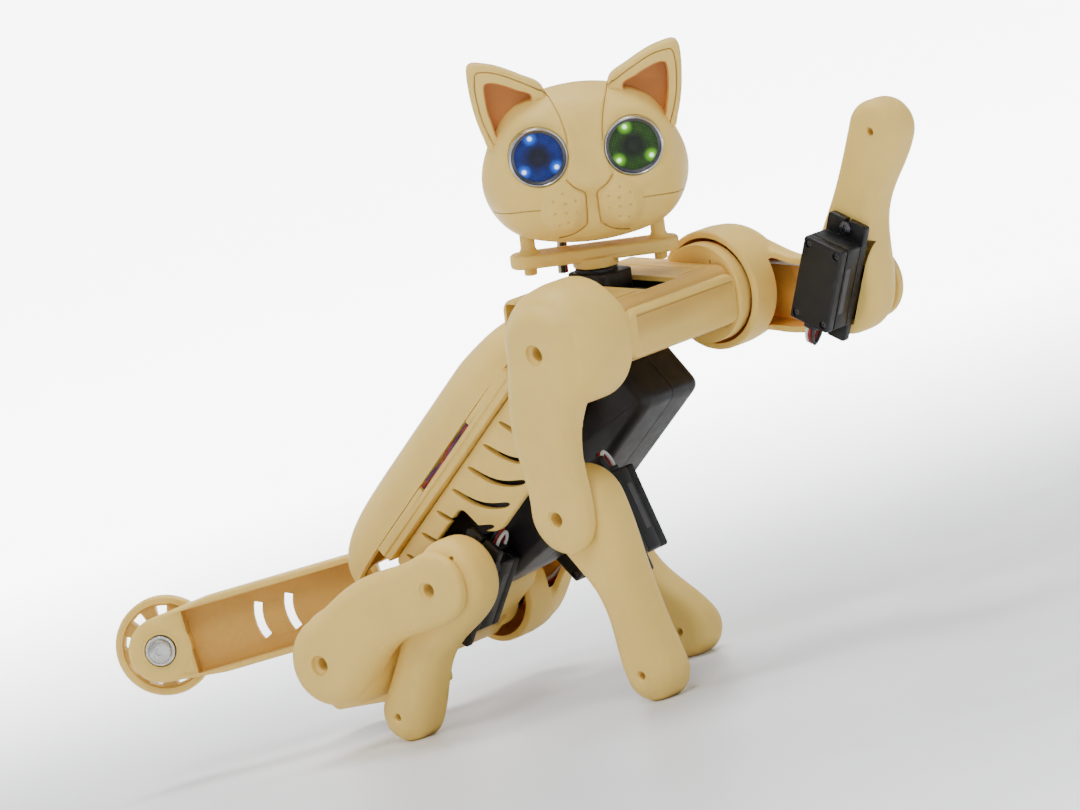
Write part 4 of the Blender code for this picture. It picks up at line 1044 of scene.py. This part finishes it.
def neck():
    """The bar under the head with its hub, posts and pegs, and the wires behind it."""
    bar = slab(rounded_box(4.5, PLATE_HALF, 4.2, count=10), PLATE_LOW, PLATE_HIGH, "Z", 0.8, 4)
    hub_low = NECK_SEAT + SERVO_ABOVE + BOSS_H + GAP
    post = [(0, PLATE_HIGH - 1), (3.1, PLATE_HIGH - 1), (3.0, PLATE_HIGH + 0.2), (2.3, PLATE_HIGH + 0.7),
            (1.95, PLATE_HIGH + 1.5), (1.9, 25.4), (0, 25.4)]
    parts = [rod(6.0, hub_low, PLATE_LOW + 1, "Z", chamfer=0.4, steps=48)]
    for side in (-1, 1):
        place = (0, side * POST_Y)
        parts.append(lathe(post, "Z", place, 32, closed=False))
        parts.append(rod(1.7, PLATE_LOW - 2.2, PLATE_LOW + 1, "Z", place, 0.4, 28))
    bore = drill(SPLINE_R + 0.25, hub_low - 1, PLATE_HIGH - 1.2, "Z")
    mesh = cut(united(bar, parts), [bore])
    make("neck_plate_bar", mesh, HEAD, "head", "ivory", ("neck_plate",))
    route = curve_through([(-8.6, -7.0, 20.6), (-10.0, -7.6, 17.5), (-10.6, -8.0, 13.0),
                           (-10.0, -8.2, 9.0)], 8)
    for k, finish in enumerate(("wire_black", "wire_red", "wire_black", "wire_white")):
        shift = Vector((0.75 * math.cos(k * 1.57), 0.75 * math.sin(k * 1.57), 0))
        strand = tube([p + shift for p in route], 0.62)
        make(f"neck_wire_{k + 1}", strand, HEAD, "head", finish, ("neck_cable",) if k == 0 else ())


# ---- limbs ----

LEAD_COLOURS = ("wire_black", "wire_red", "wire_white")


def limb_side(near, far, length, bow, count):
    found = []
    for k in range(1, count):
        t = k / count
        ease = 3 * t * t - 2 * t ** 3
        found.append((length * t, near + (far - near) * ease + bow * (1 - math.cos(2 * math.pi * t)) / 2))
    return found


def limb_outline(size, bend, grow=0.0, count=28, cap=26):
    near, far = size["near"] + grow, size["far"] + grow
    length = size["length"]
    outline = arc((0, 0), near, 270, 90, cap)
    outline += limb_side(near, far, length, size["bow_out"], count)
    outline += arc((length, 0), far, 90, -90, cap)
    outline += [(x, -z) for x, z in reversed(limb_side(near, far, length, size["bow_in"], count))]
    return [(x, bend * z) for x, z in outline]


def limb_solid(size, side, inner, outer, bend, grow=0.0, rounding=0.0, round_inner=0.0, slope=0.0, steps=9):
    """A bone-shaped block between two depths, its edges rounded."""
    angles = [math.pi / 2 * k / steps for k in range(steps + 1)]
    levels = [(inner, 0.0)]
    if round_inner:
        levels = [(inner + round_inner * (1 - math.cos(a)), round_inner * (1 - math.sin(a))) for a in angles]
    if rounding:
        levels += [(outer - rounding * (1 - math.sin(a)), rounding * (1 - math.cos(a))) for a in angles]
    else:
        levels.append((outer, 0.0))
    rings = []
    for depth, amount in levels:
        ring = []
        for x, z in limb_outline(size, bend, grow - amount):
            y = inner + (depth - inner) * (1 - slope * x / size["length"])
            ring.append((x, side * y, z))
        rings.append(ring)
    return loft(rings)


THIGH_LEAD = ((39.0, 36.6, 3.6), (33.0, 37.6, 4.6), (24.0, 38.8, 5.4), (16.0, 39.2, 6.2), (9.5, 38.6, 6.6),
              (7.0, 36.5, 6.4))


def thigh_shell(side, bend):
    """The thigh's moulding and the cutters that left its inner faces."""
    size, taper = THIGH, THIGH_TAPER
    wider = FRONT_DOME_GROW if bend < 0 else 0.0
    knee = (THIGH_LENGTH, 0)
    outer = limb_solid(size, side, THIGH_IN, THIGH_OUT, bend, rounding=5.4, slope=taper)
    outline = [(0.0, 44.3), (4.0, 44.2), (8.0 + wider * 0.6, 43.2), (11.0 + wider, 41.2),
               (13.2 + wider, 37.6), (14.0 + wider, 32.5)]
    bell = [(max(0.0, r), y) for r, y in smooth(outline, 5)]
    bell += [(14.0 + wider, RIM_Y + 0.4), (13.7 + wider, RIM_Y), (0, RIM_Y)]
    solid = combined(outer, "UNION", [turned(side, bell, steps=72)], "EXACT")
    solid = softened(solid, voxel=0.42, passes=7)
    hollow = limb_solid(size, side, THIGH_IN - 2, THIGH_OUT - 2.6, bend, grow=-WALL, slope=taper, steps=4)
    bowl = turned(side, [(0, 41.2), (4, 41.1), (7.5, 40.4), (10.2 + wider, 38.8), (11.6 + wider, 36.4),
                         (12.2 + wider, 33), (12.2 + wider, 20), (0, 20)], steps=64)
    inner_faces = [hollow.copy(), bowl.copy()]
    solid = cut(solid, [hollow, bowl])
    parts = [rod(5.4, side * (HORN_HIGH + GAP), side * 43.2, "Y", steps=40),
             rod(4.6, side * KNEE_BOSS_END, side * 38.4, "Y", knee, 0.4, 40)]
    for x in (21.0, 33.0):
        # thin webs that stiffen the channel
        web = block((x - 0.5, side * (THIGH_IN + 5.0), -11), (x + 0.5, side * (THIGH_OUT - 2.6), 11))
        room = limb_solid(size, side, THIGH_IN, THIGH_OUT - 1.5, bend, -WALL * 0.6, slope=taper, steps=4)
        parts.append(combined(web, "INTERSECT", [room]))
    solid = united(solid, parts)
    knee_face = THIGH_IN + (THIGH_OUT - THIGH_IN) * (1 - taper)
    cuts = [drill(SCREW_HOLE_R, side * (HORN_HIGH - 1), side * 50, "Y", (0, 0), 36, 2.75, side * 44.1, 0.75),
            drill(SCREW_HOLE_R, side * (KNEE_BOSS_END + 3.6), side * 50, "Y", knee, 36, 2.6,
                  side * knee_face, 0.65),
            drill(SPLINE_R + 0.2, side * 20, side * (KNEE_BOSS_END + 4.0), "Y", knee, 28)]
    return cut(solid, cuts), inner_faces


def thigh(name, side, bend, place):
    body = f"{name}_thigh"
    shell, inner_faces = thigh_shell(side, bend)
    # the inner faces left by the hollow and the bowl get the ivory's painted-shade copy
    make(f"thigh_{name}_shell", shell, place, body, "ivory", (f"thigh_{name}",), sharp=34,
         inside=(inner_faces, "ivory_shaded_inside"))
    lift = 1 if side * bend < 0 or name == "front_left" else -1
    for k, finish in enumerate(LEAD_COLOURS):
        route = [(x, side * y, lift * (z - 1.05 * k)) for x, y, z in THIGH_LEAD]
        make(f"thigh_wire_{name}_{k + 1}", tube(curve_through(route, 8), 0.5), place, body, finish)
    bore, edge = SPLINE_R + 0.2, 6.6
    horn = [(bore, HORN_LOW), (edge - 0.3, HORN_LOW), (edge, HORN_LOW + 0.3), (edge, HORN_HIGH - 0.3),
            (edge - 0.3, HORN_HIGH), (bore, HORN_HIGH)]
    make(f"servo_horn_{name}_disc", turned(side, horn, closed=True), place, body, "servo_black",
         (f"servo_horn_{name}",))
    for label, at, near, far in (("upper", 0.0, HORN_HIGH + 4.5, HORN_HIGH + 7.5),
                                 ("knee", THIGH_LENGTH, KNEE_BOSS_END + 3.9, KNEE_BOSS_END + 6.4)):
        screw = rod(1.6, side * near, side * far, "Y", (at, 0), 0.35, 28)
        low, high = sorted((side * far, side * (far - 0.7)))
        recess = cross_recess((at, 0), "Y", 0.9, 0.16, low - 0.01, high + 0.2)
        make(f"{label}_screw_{name}_head", cut(screw, recess), place, body, "steel",
             (f"{label}_screw_{name}",))


def shank(name, side, bend, place, floor):
    mesh = limb_solid(SHANK, side, SHANK_IN, SHANK_OUT, -bend, rounding=5.2, round_inner=3.2)
    half = SERVO_WIDTH / 2 + GAP
    pocket_end = SHANK_IN - GAP + SERVO_ABOVE + 0.5
    ear_at = -SHAFT_INSET - EAR_REACH / 2
    paw = (SHANK_LENGTH, 0)
    cuts = [block((-SHAFT_INSET - GAP, side * 20, -half),
                  (SERVO_LENGTH - SHAFT_INSET + GAP, side * pocket_end, half), 0.6, "Y"),
            drill(BOSS_R + GAP, side * 28, side * 40, "Y", steps=40),
            drill(1.0, -60, 60, "Y", paw, 24),
            drill(0.8, side * 20, side * 40, "Y", (ear_at, 0), 20)]
    for face, out, end in ((SHANK_OUT, 1, 50), (SHANK_IN, -1, 10)):
        # the flared mouths of the paw's through hole
        cuts.append(turned(side, [(0, face - out * 0.5), (1.0, face - out * 0.5), (1.5, face + out * 0.05),
                                  (1.5, end), (0, end)], paw, 24))
    if floor is not None:
        cuts.append(floor)
    body = f"{name}_shank"
    make(f"shank_{name}_shell", cut(mesh, cuts), place, body, "ivory",
         (f"shank_{name}",), sharp=34)
    servo(f"knee_servo_{name}", place, (0, side * (SHANK_IN - GAP), 0), (0, side, 0), (1, 0, 0), EAR_REACH,
          body)
    for letter, z in (("b", -6.1), ("a", 6.1)):
        # a plain grey bar where the label is, on the long side of the case
        bar = block((-1.5, side * 15.0, z - 0.03), (11.0, side * 16.7, z + 0.03))
        make(f"knee_servo_{name}_label_{letter}", bar, place, body, "label_grey")
    # the hind servos' screws are sunk, because their heads pass close to the side panels
    top = SHANK_IN - GAP - SERVO_EAR + (0.0 if bend < 0 else 0.9)
    for letter, sx in (("b", -1), ("a", 1)):
        at = (SERVO_LENGTH / 2 - SHAFT_INSET + sx * (SERVO_LENGTH / 2 + 2.35), 0)
        screw = turned(side, [(0, top - 1.0), (0.9, top - 0.9), (1.75, top - 0.35), (1.75, top), (0.9, top),
                              (0.9, top + 2.2), (0, top + 2.2)], at, 28)
        recess = cross_recess(at, "Y", 1.0, 0.17, side * (top - 1.4), side * (top - 0.6))
        make(f"knee_servo_{name}_ear_screw_{letter}", cut(screw, recess), place, body,
             "dark_metal")
    out, back = 13.1, 16.3
    for k, finish in enumerate(LEAD_COLOURS):
        route = [(x, side * y, (k - 1) * 0.95) for x, y in
                 ((-5.8, out), (-9.4, out), (-11.8, (out + back) / 2), (-9.4, back), (-5.8, back))]
        make(f"knee_wire_{name}_{k + 1}", tube(curve_through(route, 8), 0.46), place, body, finish,
             (f"knee_cable_{name}",) if k == 0 else ())
    collar = block((-7.4, side * 12.2, -1.9), (-6.0, side * 17.2, 1.9), 0.4, "X")
    make(f"knee_grommet_{name}", collar, place, body, "wire_black")


def limbs():
    for name, (side, bend, thigh_angle, shank_angle) in LIMBS.items():
        at = (HIP_X, 0, HIP_Z) if bend > 0 else tuple(SHOULDER)
        hip = placed(ROOT, at, lift=thigh_angle)
        knee = placed(hip, (THIGH_LENGTH, 0, 0), lift=shank_angle - thigh_angle)
        thigh(name, side, bend, hip)
        floor = None
        if shank_angle < 0:
            floor = block((-200, -60, -20), (200, 60, -ROOT_AT[2]))
            floor.transform(knee.inverted() @ ROOT)
        shank(name, side, bend, knee, floor)


# ---- tail ----

def tail_outline(length, grow=0.0):
    high, near = TAIL_HALF_HEIGHT + grow, -4.5 - grow
    corner = 3.0 + grow
    if length < TAIL_LENGTH:
        outline = [(length, high), (length, -high)]
    else:
        outline = [(length - 16, high)] + arc((length, 0), TAIL_END_R + grow, 78, -78, 28)
        outline.append((length - 16, -high))
    outline += arc((near + corner, -high + corner), corner, 270, 180, 8)
    outline += arc((near + corner, high - corner), corner, 180, 90, 8)
    return outline


def tail_slots(near, far, angle):
    """The outlines of the tail's two curved slots."""
    return [arc((at - 12, 0), near, -angle, angle, 16) + arc((at - 12, 0), far, angle, -angle, 16)
            for at in TAIL_SLOTS]


def tail():
    half, end = TAIL_DEPTH / 2, (TAIL_LENGTH, 0)
    floor = -half + WALL
    hollow = slab(tail_outline(TAIL_LENGTH - 8.5, -WALL), floor, TAIL_DEPTH, "Y")
    hub_low = TAIL_SEAT + SERVO_ABOVE + BOSS_H + GAP - TAIL_PIVOT[2]
    hub = rod(5.0, hub_low, -TAIL_HALF_HEIGHT + 3, "Z", chamfer=0.4, steps=40)
    cuts = [drill(SPLINE_R + 0.25, hub_low - 1, hub_low + SPLINE_H + 0.2, "Z")]
    cuts += [slab(filleted(slot, 0.8, 3), -TAIL_DEPTH, TAIL_DEPTH, "Y")
             for slot in tail_slots(11.0, 13.4, 24)]
    cuts.append(drill(4.5, -TAIL_DEPTH, TAIL_DEPTH, "Y", end, 48))
    mesh = cut(slab(tail_outline(TAIL_LENGTH), -half, half, "Y", 0.7, 4), [hollow])
    mesh = cut(united(mesh, [hub]), cuts)
    make("tail_arm_channel", mesh, TAIL, "tail", "ivory", ("tail_arm",))
    out = TAIL_END_R
    boss = [(4.5, -half), (out - 0.8, -half), (out - 0.2, -half + 0.4), (out - 0.2, half),
            (out - 0.9, half + 0.35), (5.6, half + 0.35), (4.5, half - 0.4)]
    make("tail_end_boss", lathe(boss, "Y", end, 64), TAIL, "tail", "ivory")
    # painted shade: a thin sheet over the channel's floor, in the ivory's shaded copy
    floor_shade_sheet = slab(tail_outline(TAIL_LENGTH - 8.9, -WALL - 0.05), floor - 0.02, floor + 0.12, "Y")
    slots = [slab(slot, -TAIL_DEPTH, TAIL_DEPTH, "Y") for slot in tail_slots(10.9, 13.5, 24.5)]
    make("tail_floor_painted_shade", cut(floor_shade_sheet, slots), TAIL, "tail", "ivory_shaded_inside")

    x, _, _ = TAIL_PIVOT
    servo("tail_servo", ROOT, (x, 0, TAIL_SEAT), (0, 0, 1), (-1, 0, 0), CLIPPED_EAR, "torso")
    high = TAIL_SEAT - SERVO_EAR - GAP
    outline = filleted([(x - 19.8, high), (x - 19.8, high - 6.0), (x - 17.5, high - 8.3),
                        (x + 13.5, high - 8.3), (x + 15.0, high)], 1.2, 4)
    well_half = SERVO_WIDTH / 2 + GAP
    well = block((x - SERVO_LENGTH + SHAFT_INSET - GAP, -well_half, 0),
                 (x + SHAFT_INSET + GAP, well_half, 40))
    bracket = cut(slab(outline, -8.6, 8.6, "Y", 0.8, 4), [well])
    make("tail_bracket_cradle", bracket, ROOT, "torso", "ivory", ("tail_bracket",))

    bearing = [(4.0, -6.2), (4.2, -6.0), (4.2, half + 0.3), (4.0, half + 0.5), (3.55, half + 0.5),
               (3.45, half + 0.25), (2.6, half + 0.25), (2.5, half + 0.5), (1.9, half + 0.5), (1.9, -6.2)]
    make("tail_bearing_rings", lathe(bearing, "Y", end, 56), TAIL, "tail", "steel", ("tail_bearing",))
    cap = [(0, half + 2.0), (2.4, half + 2.0), (2.95, half + 1.8), (3.2, half + 1.3), (3.2, half + 0.8),
           (1.6, half + 0.8), (1.6, -11.7), (1.3, -12.0), (0, -12.0)]
    hexagon = arc(end, 1.25, 0, 300, 5)
    screw = cut(lathe(cap, "Y", end, 40, closed=False),
                [slab(hexagon, half + 0.9, half + 3, "Y")])
    make("tail_screw_head", screw, TAIL, "tail", "steel", ("tail_screw",))

    out, low, high = WHEEL_R, WHEEL_LOW, WHEEL_HIGH
    disc = [(1.9, low), (out - 0.5, low), (out, low + 0.5), (out, high - 0.5), (out - 0.5, high),
            (out - 2.0, high), (out - 2.3, high - 0.9), (5.4, high - 0.9), (5.0, high), (1.9, high)]
    cuts = []
    for angle in range(20, 380, 40):
        slot = arc((0, 0), 5.8, angle - 9, angle + 9, 8) + arc((0, 0), 11.3, angle + 8.5, angle - 8.5, 10)
        cuts.append(slab(filleted(slot, 0.8, 3), low - 1, high + 1, "Y"))
    make("tail_wheel_spoked", cut(lathe(disc, "Y", steps=96), cuts), WHEEL, "wheel",
         "ivory", ("tail_wheel",))


def stage():
    """A wide round floor whose edge rises into a wall."""
    floor_r, bend, count = 2.4, 1.6, 96
    profile = [(0.02, 0.0), (0.6, 0.0), (1.6, 0.0)]
    for k in range(17):
        angle = math.pi / 2 * k / 16
        profile.append((floor_r + bend * math.sin(angle), bend - bend * math.cos(angle)))
    profile.append((floor_r + bend, 5.0))
    turns = [2 * math.pi * k / count for k in range(count)]
    mesh = loft([[(radius * math.cos(t), radius * math.sin(t), height) for t in turns]
                 for radius, height in profile], caps=False)
    work = bmesh.new()
    work.from_mesh(mesh)
    middle = [e for e in work.edges if e.is_boundary and e.verts[0].co.length < 0.1]
    bmesh.ops.holes_fill(work, edges=middle)
    work.to_mesh(mesh)
    work.free()
    mesh.shade_smooth()
    mesh.materials.append(paper())
    shown(bpy.data.objects.new("studio_floor", mesh))


camera()
lighting()
stage()
back_cover()
chassis_tray()
rib_panels()
battery()
housings()
head()
eyes()
neck()
limbs()
tail()
for node_name, finish_name in (("control_board", "board_green"), ("eye_board", "board_green")):
    for material_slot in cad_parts[node_name].material_slots:
        material_slot.material = FINISHES[finish_name]
